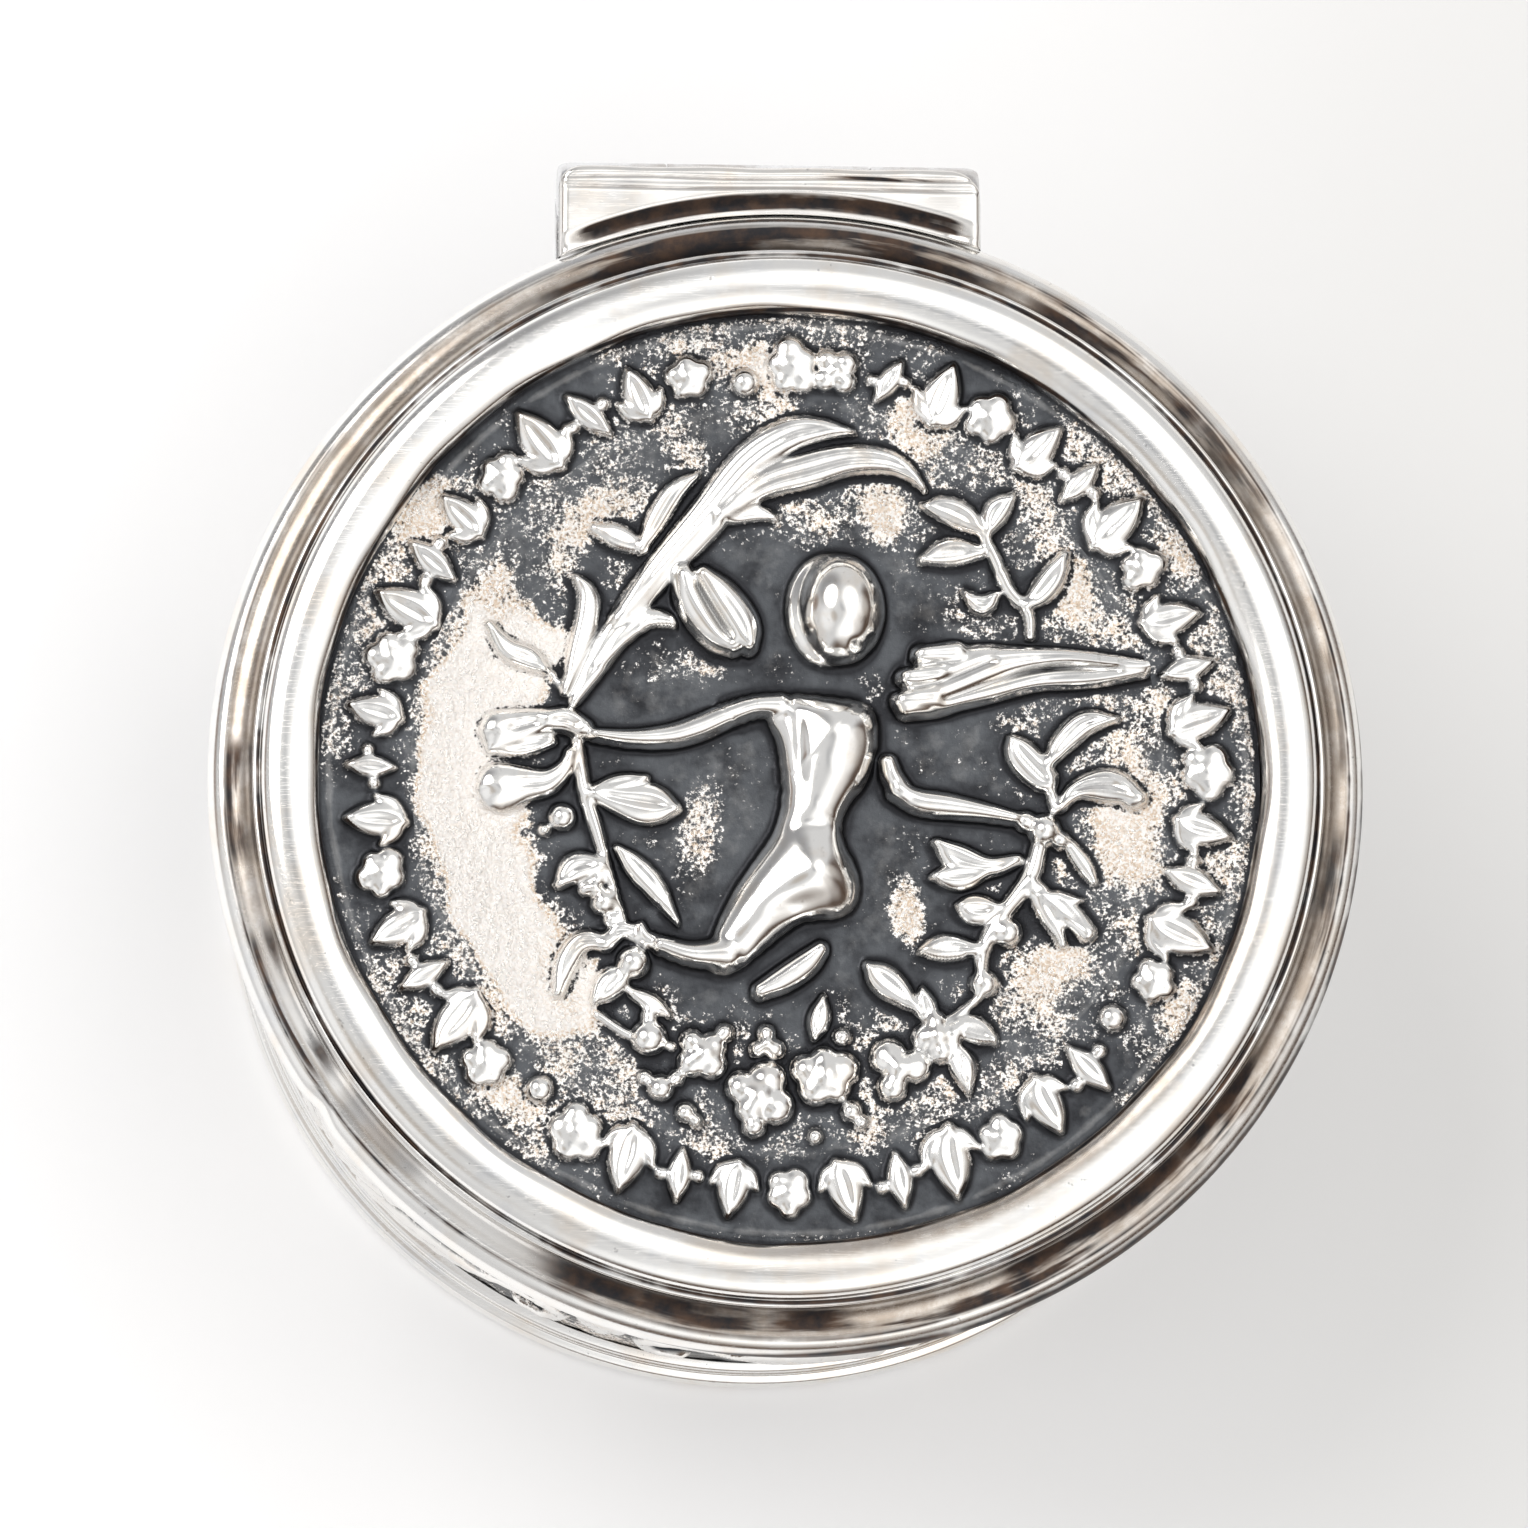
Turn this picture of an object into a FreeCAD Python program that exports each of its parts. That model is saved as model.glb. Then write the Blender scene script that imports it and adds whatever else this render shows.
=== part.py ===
import FreeCAD, Part
import Sketcher
import math
import os

from FreeCAD import Placement, Rotation, Vector

# Small round silver keepsake box with a hinged lid, in millimetres.
# The origin is the centre of the flat base, +Z is up and the hinge is at +Y.

SIZES = [
    ("rim_radius", 20.0, "outside of the bead round the lid"),
    ("mouth_step", 0.8, "how far the mouth wire lies inside the bead"),
    ("mouth_radius", "=rim_radius - mouth_step", "outside of the wire round the mouth"),
    ("mouth_width", 1.2, "how far the mouth wire stands out from the wall"),
    ("wall_radius", "=mouth_radius - mouth_width", "outside of the sheet wall"),
    ("foot_width", 0.8, "how far the foot wire stands out from the wall"),
    ("foot_radius", "=wall_radius + foot_width", "outside of the wire round the foot"),
    ("foot_rise", 1.7, "height of the foot wire"),
    ("foot_bevel", 0.5, "slope on the foot wire"),
    ("base_thickness", 0.7, "flat disc that the box stands on"),
    ("wall_thickness", 0.7, "sheet of the wall"),
    ("mouth_level", 18.6, "height of the seat that the lid closes on"),
    ("mouth_drop", 1.2, "depth of the mouth wire"),
    ("mouth_bevel", 0.6, "bevel under the mouth wire"),
    ("lip_rise", 1.4, "how far the wall stands up inside the lid"),
    ("lip_clearance", 0.2, "gap all round between the lip and the lid"),
    ("bead_height", 1.5, "height of that bead"),
    ("bead_bulge", 0.5, "how far the bead swells past its two edges"),
    ("cove_width", 1.0, "hollow between the bead and the fillet"),
    ("fillet_width", 0.25, "narrow flat inside the hollow"),
    ("bezel_rise", 0.62, "how far the rounded frame swells above its foot"),
    ("frame_width", 1.95, "width of the rounded frame"),
    ("field_radius", "=rim_radius - bead_bulge - cove_width - fillet_width - frame_width",
     "opening of the rounded frame"),
    ("frame_step", 0.12, "edge of the opening above the fillet"),
    ("field_depth", 0.55, "how far the chased disc lies below that opening"),
    ("lid_thickness", 0.65, "metal between the lip's room and the fillet"),
    ("plate_thickness", 0.5, "sheet of the chased disc"),
    ("ring_width", 3.3, "flat ring of small ornaments round the dish"),
    ("dish_slope", 1.6, "width of the slope into the dish"),
    ("dish_depth", 0.35, "how far the dish is sunk"),
    ("relief_height", 1.0, "scale of every raised height on the chased disc"),
    ("hinge_width", 14.7, "length of the hinge"),
    ("hinge_shift", -0.6, "how far the hinge sits off the centre line"),
    ("knuckle_radius", 1.0, "hinge barrels"),
    ("knuckle_tuck", 0.08, "how far the barrels tuck in under the lid's bead"),
    ("pin_stand", "=rim_radius + knuckle_radius - knuckle_tuck", "pin axis behind the middle of the box"),
    ("knuckle_share", 0.48, "part of the hinge length that is the middle barrel"),
    ("knuckle_gap", 0.05, "end play between barrels"),
    ("pin_radius", 0.4, "wire pin"),
    ("pin_play", 0.05, "radial play of the pin in the middle barrel"),
    ("pin_seat", 0.01, "radial gap of the pin in the outer barrels"),
    ("cover_gap", 0.1, "space between the barrels and the cover"),
    ("cover_thickness", 0.55, "bar over the hinge"),
    ("cover_overhang", 0.65, "how far that bar passes the pin axis"),
    ("cover_corner_left", 0.6, "rounded rear corner"),
    ("cover_corner_right", 1.0, "rounded rear corner"),
    ("cover_groove", 0.14, "radius of the line along the bar"),
    ("cover_bevel", 0.2, "soft edge round the bar"),
    ("bearer_top", 0.3, "top of the bearer below the mouth"),
    ("bearer_leaf", 0.3, "metal of the bearer under the barrels"),
    ("wall_repeats", 5, "times the wall ornament repeats"),
    ("wall_relief", 0.5, "how far the wall ornament stands out"),
]

# Chased work on the lid, drawn on a dish of 13 mm radius seen from above: x, y in that drawing.
DRAWN_RADIUS = 13.0

# A rounded mass in flats: how wide and how high its flat crown is, as shares of its width and rise.
CROWN_WIDTH = 0.52
CROWN_HEIGHT = 0.94
# How deep raised work reaches into the sheet below it, as a share of the sheet.
RELIEF_ROOT = 0.16

# Leaves: root x, y, tip x, y, widest width, rise.
PALM = [
    (-7.7, 2.2, -5.2, 6.3, 0.45, 0.45),
    (-5.5, 5.8, -1.9, 10.2, 0.4, 0.4),
    (-2.7, 9.2, 2.3, 12.2, 0.8, 0.5),
    (-2.5, 9.0, 4.8, 10.3, 0.8, 0.5),
    (-5.1, 7.8, -3.0, 10.6, 0.75, 0.45),
    (-5.9, 7.0, -6.9, 8.8, 0.7, 0.4),
    (-7.6, 3.0, -7.2, 7.0, 0.7, 0.45),
    (-8.0, 2.9, -10.4, 5.2, 0.75, 0.45),
    (-6.4, 4.1, -3.9, 5.4, 0.7, 0.45),
]
HAND_SPRAY = [
    (-7.3, 1.1, -5.8, -5.0, 0.4, 0.4),
    (-7.8, 1.5, -10.4, 2.0, 1.1, 0.6),
    (-7.6, 0.9, -10.2, -0.4, 1.2, 0.6),
    (-7.2, -1.0, -8.8, -2.0, 0.9, 0.5),
    (-6.6, -0.4, -4.0, -0.3, 0.7, 0.45),
    (-6.5, -0.7, -4.3, -1.5, 0.6, 0.4),
    (-6.4, -2.5, -8.1, -3.6, 0.8, 0.45),
    (-6.3, -3.0, -6.6, -4.8, 0.6, 0.4),
    (-6.1, -2.5, -3.7, -5.2, 0.7, 0.45),
]
RIGHT_SPRAY = [
    (8.8, -1.9, 6.8, -7.2, 0.4, 0.4),
    (8.3, -3.2, 9.4, -6.2, 0.45, 0.4),
    (8.2, -2.7, 5.1, -2.2, 0.9, 0.5),
    (7.7, -4.0, 5.9, -4.2, 0.7, 0.45),
    (7.0, -5.9, 4.6, -6.2, 0.8, 0.45),
    (8.8, -3.8, 10.4, -5.0, 0.8, 0.45),
    (8.9, -1.4, 9.0, 0.6, 0.35, 0.35),
    (8.8, -0.4, 7.7, 1.6, 0.8, 0.45),
    (9.1, 0.4, 11.4, 2.3, 0.9, 0.5),
    (9.3, -0.8, 11.9, -1.3, 1.0, 0.5),
]
TOP_SPRAY = [
    (8.5, 4.9, 7.0, 8.9, 0.4, 0.4),
    (7.2, 8.5, 4.5, 9.7, 0.8, 0.45),
    (7.1, 8.6, 7.9, 10.2, 0.7, 0.45),
    (8.0, 6.2, 9.8, 8.2, 0.8, 0.45),
    (6.9, 7.3, 4.7, 7.9, 0.7, 0.4),
]
# Wings: rise, then a line of places x, y, half width.
WINGS = [
    (1.1, [(-3.1, 6.7, 0.7), (-1.8, 4.9, 0.8)]),
    (0.95, [(4.4, 2.7, 0.8), (6.3, 3.8, 1.05), (8.3, 4.2, 0.55)]),
    (0.8, [(8.0, 4.2, 0.5), (12.0, 3.95, 0.35)]),
    (0.8, [(5.6, 2.8, 0.5), (8.6, 3.5, 0.45), (11.8, 3.7, 0.3)]),
    (1.0, [(4.6, 4.2, 0.5), (5.8, 4.4, 0.5)]),
]
GARLAND_LEAVES = [
    (-4.7, -5.6, -7.9, -5.8, 0.9, 0.5),
    (-7.0, -5.9, -7.9, -7.9, 0.8, 0.45),
    (-4.8, -7.0, -6.7, -8.0, 0.8, 0.45),
    (-4.5, -8.7, -5.1, -10.2, 0.8, 0.45),
    (0.9, -9.3, 0.9, -7.4, 0.9, 0.5),
    (2.9, -8.4, 4.0, -6.5, 1.1, 0.55),
    (5.8, -9.1, 7.5, -8.8, 0.9, 0.5),
    (-3.4, -8.9, -3.9, -7.6, 0.8, 0.45),
]
# Flowers and fruit: x, y, radius, rise.
PETALS = 5
PETAL_TIP = 1.15
PETAL_NOTCH = 0.72
GARLAND_FLOWERS = [
    (-5.3, -6.5, 0.6, 0.65),
    (-4.8, -9.1, 0.7, 0.6),
    (-2.95, -9.6, 1.0, 0.7),
    (-4.3, -10.9, 0.7, 0.5),
    (-3.6, -11.7, 0.55, 0.45),
    (-1.05, -11.2, 1.2, 0.75),
    (-0.75, -9.3, 0.75, 0.6),
    (1.2, -10.3, 1.15, 0.75),
    (3.8, -10.1, 1.1, 0.7),
    (5.2, -8.8, 0.95, 0.7),
    (8.8, -1.75, 0.8, 0.8),
    (7.55, -5.3, 0.6, 0.55),
    (6.75, -7.1, 0.6, 0.5),
]
# The winged child, seen from behind: rise, then a line of places x, y, half width for each rounded mass.
CHILD = [
    (1.6, [(1.8, 6.2, 1.65), (1.75, 5.2, 1.6)]),
    (1.2, [(-0.5, 2.55, 0.5), (2.2, 2.1, 0.6)]),
    (1.35, [(1.2, 1.7, 1.75), (1.3, 0.2, 1.5), (0.7, -1.8, 1.1)]),
    (1.4, [(0.6, -2.3, 1.3), (0.3, -3.6, 1.9)]),
    (1.6, [(1.1, -3.1, 1.0), (1.3, -3.8, 1.1)]),
    (1.35, [(-0.1, -3.9, 1.6), (-1.3, -5.2, 1.05), (-2.3, -6.3, 0.6)]),
    (0.9, [(-2.5, -6.3, 0.55), (-4.4, -5.9, 0.4)]),
    (0.75, [(-0.7, -7.3, 0.4), (1.0, -6.1, 0.5)]),
    (0.95, [(-0.7, 2.5, 0.48), (-4.0, 1.45, 0.42), (-6.6, 1.35, 0.3)]),
    (0.85, [(-7.2, 1.7, 0.45), (-8.2, 1.9, 0.45)]),
    (0.85, [(3.5, 0.4, 0.35), (3.8, -0.45, 0.5)]),
    (0.85, [(3.9, -0.6, 0.48), (5.8, -0.95, 0.45), (7.8, -1.35, 0.3)]),
]

# Marks in the ring, as angles from +X in degrees.
QUATREFOIL_AT = 83.5
PELLETS_AT = [96.3, 232.0, 323.4]
MARK_PITCH = 15
MARK_LEAN = 0.25
MARK_WIDTH = 0.9
MARK_RISE = 0.4

# Scrolls on the wall: small leaves that curl inwards, from one angle on by equal steps.
SCROLL_LEAVES = 3
SCROLL_START = 250
SCROLL_STEP = 85


def fill_sheet(doc):
    sheet = doc.addObject("Spreadsheet::Sheet", "Sizes")
    for row, (alias, value, note) in enumerate(SIZES, start=1):
        sheet.set(f"A{row}", note)
        sheet.set(f"B{row}", str(value))
        sheet.setAlias(f"B{row}", alias)
    doc.recompute()
    return sheet


def worked_out(sheet, text):
    """Value of a formula in the sheet's names, as a plain number."""
    return float(sheet.evalExpression(text))


def named(text):
    """The same formula with each name pointed at the sheet."""
    for alias in sorted((row[0] for row in SIZES), key=len, reverse=True):
        text = text.replace(alias, f"<{alias}>")
    return text.replace("<", "Sizes.").replace(">", "")


def origin_plane(body, role):
    return next(item for item in body.Origin.OriginFeatures if item.Role == role)


def place_point(sketch, sheet, geometry, corner, across, up):
    """Pins one corner of the sketch at two formulas."""
    for kind, text, other_axis in (("DistanceX", across, -2), ("DistanceY", up, -1)):
        if text == "0":
            sketch.addConstraint(Sketcher.Constraint("PointOnObject", geometry, corner, other_axis))
            continue
        value = worked_out(sheet, text)
        index = sketch.addConstraint(Sketcher.Constraint(kind, -1, 1, geometry, corner, value))
        sketch.setExpression(f"Constraints[{index}]", named(text))


def turned(doc, sheet, label, profile):
    """Turns a closed profile about Z. Each corner is its radius and height as formulas."""
    body = doc.addObject("PartDesign::Body", label)
    body.Label = label
    sketch = body.newObject("Sketcher::SketchObject", f"{label}_profile")
    sketch.AttachmentSupport = [(origin_plane(body, "XZ_Plane"), "")]
    sketch.MapMode = "FlatFace"
    corners = [Vector(worked_out(sheet, r), worked_out(sheet, z), 0) for r, z in profile]
    for i, corner in enumerate(corners):
        sketch.addGeometry(Part.LineSegment(corner, corners[(i + 1) % len(corners)]), False)
    for i, (radius, height) in enumerate(profile):
        sketch.addConstraint(Sketcher.Constraint("Coincident", i - 1 if i else len(profile) - 1, 2, i, 1))
        place_point(sketch, sheet, i, 1, radius, height)
    turn = body.newObject("PartDesign::Revolution", f"{label}_turned")
    turn.Profile = sketch
    turn.ReferenceAxis = (sketch, ["V_Axis"])
    turn.Angle = 360
    return body


def make_base(doc, sheet):
    disc = doc.addObject("Part::Cylinder", "base_plate")
    disc.Label = "base_plate"
    disc.setExpression("Radius", "Sizes.wall_radius")
    disc.setExpression("Height", "Sizes.base_thickness")
    foot = turned(doc, sheet, "foot_ring", [
        ("wall_radius", "0"),
        ("foot_radius", "0"),
        ("foot_radius", "foot_rise - foot_bevel"),
        ("wall_radius", "foot_rise"),
    ])
    return [disc, foot]


def make_mouth(doc, sheet):
    return turned(doc, sheet, "mouth_rim", [
        ("wall_radius", "mouth_level - mouth_drop"),
        ("mouth_radius", "mouth_level - mouth_drop + mouth_bevel"),
        ("mouth_radius", "mouth_level"),
        ("wall_radius", "mouth_level"),
    ])


def make_frame(doc, sheet):
    """Lid moulding from its skirt out: bead, hollow, fillet and broad rounded frame."""
    bead_edge = "rim_radius - bead_bulge"
    bead_top = "mouth_level + bead_height"
    hollow_edge = f"{bead_edge} - cove_width"
    skirt = "wall_radius + lip_clearance"
    underside = "mouth_level + lip_rise + lip_clearance"
    fillet_top = f"{underside} + lid_thickness"
    return turned(doc, sheet, "lid_frame", [
        (skirt, "mouth_level"),
        (bead_edge, "mouth_level"),
        ("rim_radius", "mouth_level + bead_height * 0.3"),
        ("rim_radius", "mouth_level + bead_height * 0.7"),
        (bead_edge, bead_top),
        (hollow_edge, fillet_top),
        ("field_radius + frame_width", fillet_top),
        ("field_radius + frame_width * 0.75", f"{fillet_top} + bezel_rise"),
        ("field_radius + frame_width * 0.25", f"{fillet_top} + bezel_rise"),
        ("field_radius", f"{fillet_top} + frame_step"),
        ("field_radius", underside),
        (skirt, underside),
    ])


def box_object(doc, name, length, width, height, x, y, z):
    """Box whose sizes and lowest corner are formulas."""
    box = doc.addObject("Part::Box", name)
    for field, text in (("Length", length), ("Width", width), ("Height", height)):
        box.setExpression(field, named(text))
    for field, text in (("x", x), ("y", y), ("z", z)):
        box.setExpression(f".Placement.Base.{field}", named(text))
    return box


def bar_object(doc, name, radius, length, x, y, z):
    """Round bar along X, starting at x."""
    bar = doc.addObject("Part::Cylinder", name)
    bar.Placement = Placement(Vector(0, 0, 0), Rotation(Vector(0, 1, 0), 90))
    bar.setExpression("Radius", named(radius))
    bar.setExpression("Height", named(length))
    for field, text in (("x", x), ("y", y), ("z", z)):
        bar.setExpression(f".Placement.Base.{field}", named(text))
    return bar


def disc_object(doc, name, radius, height, z):
    disc = doc.addObject("Part::Cylinder", name)
    disc.setExpression("Radius", named(radius))
    disc.setExpression("Height", named(height))
    disc.setExpression(".Placement.Base.z", named(z))
    return disc


def cut(doc, name, base, *tools):
    """Takes each tool from the base in turn. The last cut has the given name."""
    for i, tool in enumerate(tools):
        last = i == len(tools) - 1
        result = doc.addObject("Part::Cut", name if last else f"{name}_cut_{i + 1}")
        result.Base = base
        result.Tool = tool
        base = result
    base.Label = name
    return base


PIN_Y = "pin_stand"
HINGE_LEFT = "hinge_shift - hinge_width / 2"
MIDDLE_LENGTH = "hinge_width * knuckle_share"
OUTER_LENGTH = "hinge_width * (1 - knuckle_share) / 2"
MIDDLE_LEFT = "hinge_shift - hinge_width * knuckle_share / 2"
MIDDLE_RIGHT = "hinge_shift + hinge_width * knuckle_share / 2"


def make_outer_knuckle(doc, name, left):
    length = f"{OUTER_LENGTH} - knuckle_gap / 2"
    barrel = bar_object(doc, f"{name}_barrel", "knuckle_radius", length, left, PIN_Y, "mouth_level")
    hole = bar_object(doc, f"{name}_hole", "pin_radius + pin_seat", length, left, PIN_Y, "mouth_level")
    return cut(doc, name, barrel, hole)


def make_middle_knuckle(doc):
    """Middle barrel with the web that joins it to the bar above."""
    length = f"{MIDDLE_LENGTH} - knuckle_gap"
    left = f"{MIDDLE_LEFT} + knuckle_gap / 2"
    barrel = bar_object(doc, "middle_barrel", "knuckle_radius", length, left, PIN_Y, "mouth_level")
    web = box_object(doc, "middle_web", length, "knuckle_radius * 0.9", "knuckle_radius * 0.4 + cover_gap",
                     left, f"{PIN_Y} - knuckle_radius * 0.45", "mouth_level + knuckle_radius * 0.6")
    both = doc.addObject("Part::Fuse", "middle_barrel_and_web")
    both.Base = barrel
    both.Tool = web
    hole = bar_object(doc, "middle_hole", "pin_radius + pin_play", length, left, PIN_Y, "mouth_level")
    return cut(doc, "knuckle_centre", both, hole)


def make_bearer(doc, mouth):
    """Bar behind the mouth with a saddle that the outer barrels are soldered in."""
    block = box_object(doc, "bearer_block", "hinge_width", f"{PIN_Y} - wall_radius * 0.9",
                       "knuckle_radius + bearer_leaf - bearer_top", HINGE_LEFT, "wall_radius * 0.9",
                       "mouth_level - knuckle_radius - bearer_leaf")
    inside = disc_object(doc, "bearer_inside", "wall_radius", "mouth_level", "0")
    saddle = bar_object(doc, "bearer_saddle", "knuckle_radius", "hinge_width", HINGE_LEFT, PIN_Y, "mouth_level")
    relief = bar_object(doc, "bearer_clearance", "knuckle_radius + cover_gap", f"{MIDDLE_LENGTH} + knuckle_gap",
                        f"{MIDDLE_LEFT} - knuckle_gap / 2", PIN_Y, "mouth_level")
    return cut(doc, "hinge_bearer", block, inside, mouth, saddle, relief)


def edges_where(shape, test):
    return [i for i, edge in enumerate(shape.Edges, start=1) if test(edge)]


def make_cover(doc, sheet, frame):
    """Bar over the barrels, with rounded rear corners, a line along it and a hollow by the bead."""
    under = "mouth_level + knuckle_radius + cover_gap"
    top = f"{under} + cover_thickness"
    rear = f"{PIN_Y} + cover_overhang"
    blank = box_object(doc, "cover_blank", "hinge_width", f"{rear} - wall_radius", "cover_thickness",
                       HINGE_LEFT, "wall_radius", under)
    doc.recompute()
    rear_y = worked_out(sheet, rear)
    middle_x = sheet.hinge_shift
    corners = edges_where(blank.Shape, lambda e: abs(e.BoundBox.ZLength - sheet.cover_thickness) < 1e-6
                          and abs(e.BoundBox.YMax - rear_y) < 1e-6)
    rounded = doc.addObject("Part::Fillet", "cover_corners")
    rounded.Base = blank
    rounded.Edges = [
        (i, radius, radius)
        for i in corners
        for radius in [sheet.cover_corner_left if blank.Shape.Edges[i - 1].BoundBox.XMax < middle_x
                       else sheet.cover_corner_right]
    ]
    doc.recompute()
    top_z = worked_out(sheet, top)
    bevelled = doc.addObject("Part::Chamfer", "cover_edges")
    bevelled.Base = rounded
    bevelled.Edges = [
        (i, sheet.cover_bevel, sheet.cover_bevel)
        for i in edges_where(rounded.Shape, lambda e: abs(e.BoundBox.ZMin - top_z) < 1e-6
                             and e.BoundBox.YMax > sheet.wall_radius + 1e-6)
    ]
    groove = bar_object(doc, "cover_line", "cover_groove", "hinge_width", HINGE_LEFT, PIN_Y, top)
    inside = disc_object(doc, "cover_inside", "rim_radius - bead_bulge", "mouth_level", under)
    return cut(doc, "hinge_cover", bevelled, inside, frame, groove)


def chased_leaf(root, tip, width, rise, floor, sunk, small=False):
    """Crowned leaf: a pointed outline of six corners, or four on a small one, and one ridge point."""
    along = tip - root
    side = Vector(-along.y, along.x, 0).normalize() * (width / 2)
    if small:
        outline = [root, root + along * 0.5 + side, tip, root + along * 0.5 - side]
    else:
        outline = [root, root + along * 0.25 + side * 0.8, root + along * 0.6 + side,
                   tip, root + along * 0.6 - side, root + along * 0.25 - side * 0.8]
    outline = [Vector(p.x, p.y, floor - sunk) for p in outline]
    ridge = root + along * 0.5
    return peaked(outline, Vector(ridge.x, ridge.y, floor + rise))


def peaked(outline, peak):
    """Solid with a flat outline below and a triangle from each of its sides up to the peak."""
    faces = [Part.Face(Part.makePolygon(outline + outline[:1]))]
    for i, corner in enumerate(outline):
        after = outline[(i + 1) % len(outline)]
        faces.append(Part.Face(Part.makePolygon([corner, after, peak, corner])))
    solid = Part.Solid(Part.Shell(faces))
    solid.fix(1e-6, 1e-6, 1e-6)
    return solid


def flower(at, radius, rise, floor, sunk):
    """Flower of pointed petals: a star outline that rises to its middle."""
    outline = []
    for i in range(PETALS * 2):
        turn = math.pi * i / PETALS
        reach = radius * (PETAL_TIP if i % 2 == 0 else PETAL_NOTCH)
        outline.append(Vector(at.x + reach * math.cos(turn), at.y + reach * math.sin(turn), floor - sunk))
    return peaked(outline, Vector(at.x, at.y, floor + rise))


def swept(line, rise, floor, sunk):
    """Rounded mass along a line of places, each with its half width: sloping flanks and a flat crown."""
    ends = [extended(line[1], line[0]), extended(line[-2], line[-1])]
    lefts, rights = [], []
    for i, (at, half) in enumerate(line):
        along = (line[min(i + 1, len(line) - 1)][0] - line[max(i - 1, 0)][0]).normalize()
        side = Vector(-along.y, along.x, 0) * half
        lefts.append((at + side, at + side * CROWN_WIDTH))
        rights.append((at - side, at - side * CROWN_WIDTH))
    low = Vector(0, 0, floor - sunk)
    high = Vector(0, 0, floor + rise * CROWN_HEIGHT)
    tips = [end + low for end in ends]
    foot_left = [outer + low for outer, inner in lefts]
    foot_right = [outer + low for outer, inner in rights]
    top_left = [inner + high for outer, inner in lefts]
    top_right = [inner + high for outer, inner in rights]
    base = [tips[0]] + foot_left + [tips[1]] + foot_right[::-1]
    triangles = []
    for tip, k in ((tips[0], 0), (tips[1], -1)):
        triangles += [(tip, foot_left[k], top_left[k]), (tip, top_left[k], top_right[k]),
                      (tip, top_right[k], foot_right[k])]
    for row, other in ((foot_left, top_left), (top_left, top_right), (top_right, foot_right)):
        for i in range(len(line) - 1):
            triangles += [(row[i], row[i + 1], other[i + 1]), (row[i], other[i + 1], other[i])]
    faces = [Part.Face(Part.makePolygon(base + base[:1]))]
    faces += [Part.Face(Part.makePolygon([a, b, c, a])) for a, b, c in triangles]
    solid = Part.Solid(Part.Shell(faces))
    solid.fix(1e-6, 1e-6, 1e-6)
    return solid


def extended(before, last):
    """Where a mass that ends round at its last place has its tip."""
    return last[0] + (last[0] - before[0]).normalize() * last[1]


def stud(at, radius, rise, floor, sunk):
    """Small raised pellet."""
    outline = []
    for i in range(PETALS):
        turn = 2 * math.pi * i / PETALS
        outline.append(Vector(at.x + radius * math.cos(turn), at.y + radius * math.sin(turn), floor - sunk))
    return peaked(outline, Vector(at.x, at.y, floor + rise))


def ring_marks():
    """Angles of the small leaf marks, evenly spread between the quatrefoil and the pellets."""
    stops = sorted([QUATREFOIL_AT] + PELLETS_AT)
    angles = []
    for a, b in zip(stops, stops[1:] + [stops[0] + 360]):
        count = round((b - a) / MARK_PITCH) - 1
        angles += [a + (b - a) * (i + 1) / (count + 1) for i in range(count)]
    return angles


def lid_levels(sheet):
    """Heights of the chased disc: the ring and the dish inside it."""
    fillet_top = sheet.mouth_level + sheet.lip_rise + sheet.lip_clearance + sheet.lid_thickness
    ring = fillet_top + sheet.frame_step - sheet.field_depth
    return ring, ring - sheet.dish_depth


def plate_blank(sheet):
    """Turned disc with a sunk dish, of even thickness."""
    ring, dish = lid_levels(sheet)
    edge = sheet.field_radius
    lip = edge - sheet.ring_width
    inner = lip - sheet.dish_slope
    thick = sheet.plate_thickness
    points = [(0, dish), (inner, dish), (lip, ring), (edge, ring),
              (edge, ring - thick), (lip, ring - thick), (inner, dish - thick), (0, dish - thick)]
    wire = Part.makePolygon([Vector(r, 0, z) for r, z in points + points[:1]])
    return Part.Face(wire).revolve(Vector(0, 0, 0), Vector(0, 0, 1), 360)


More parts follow.
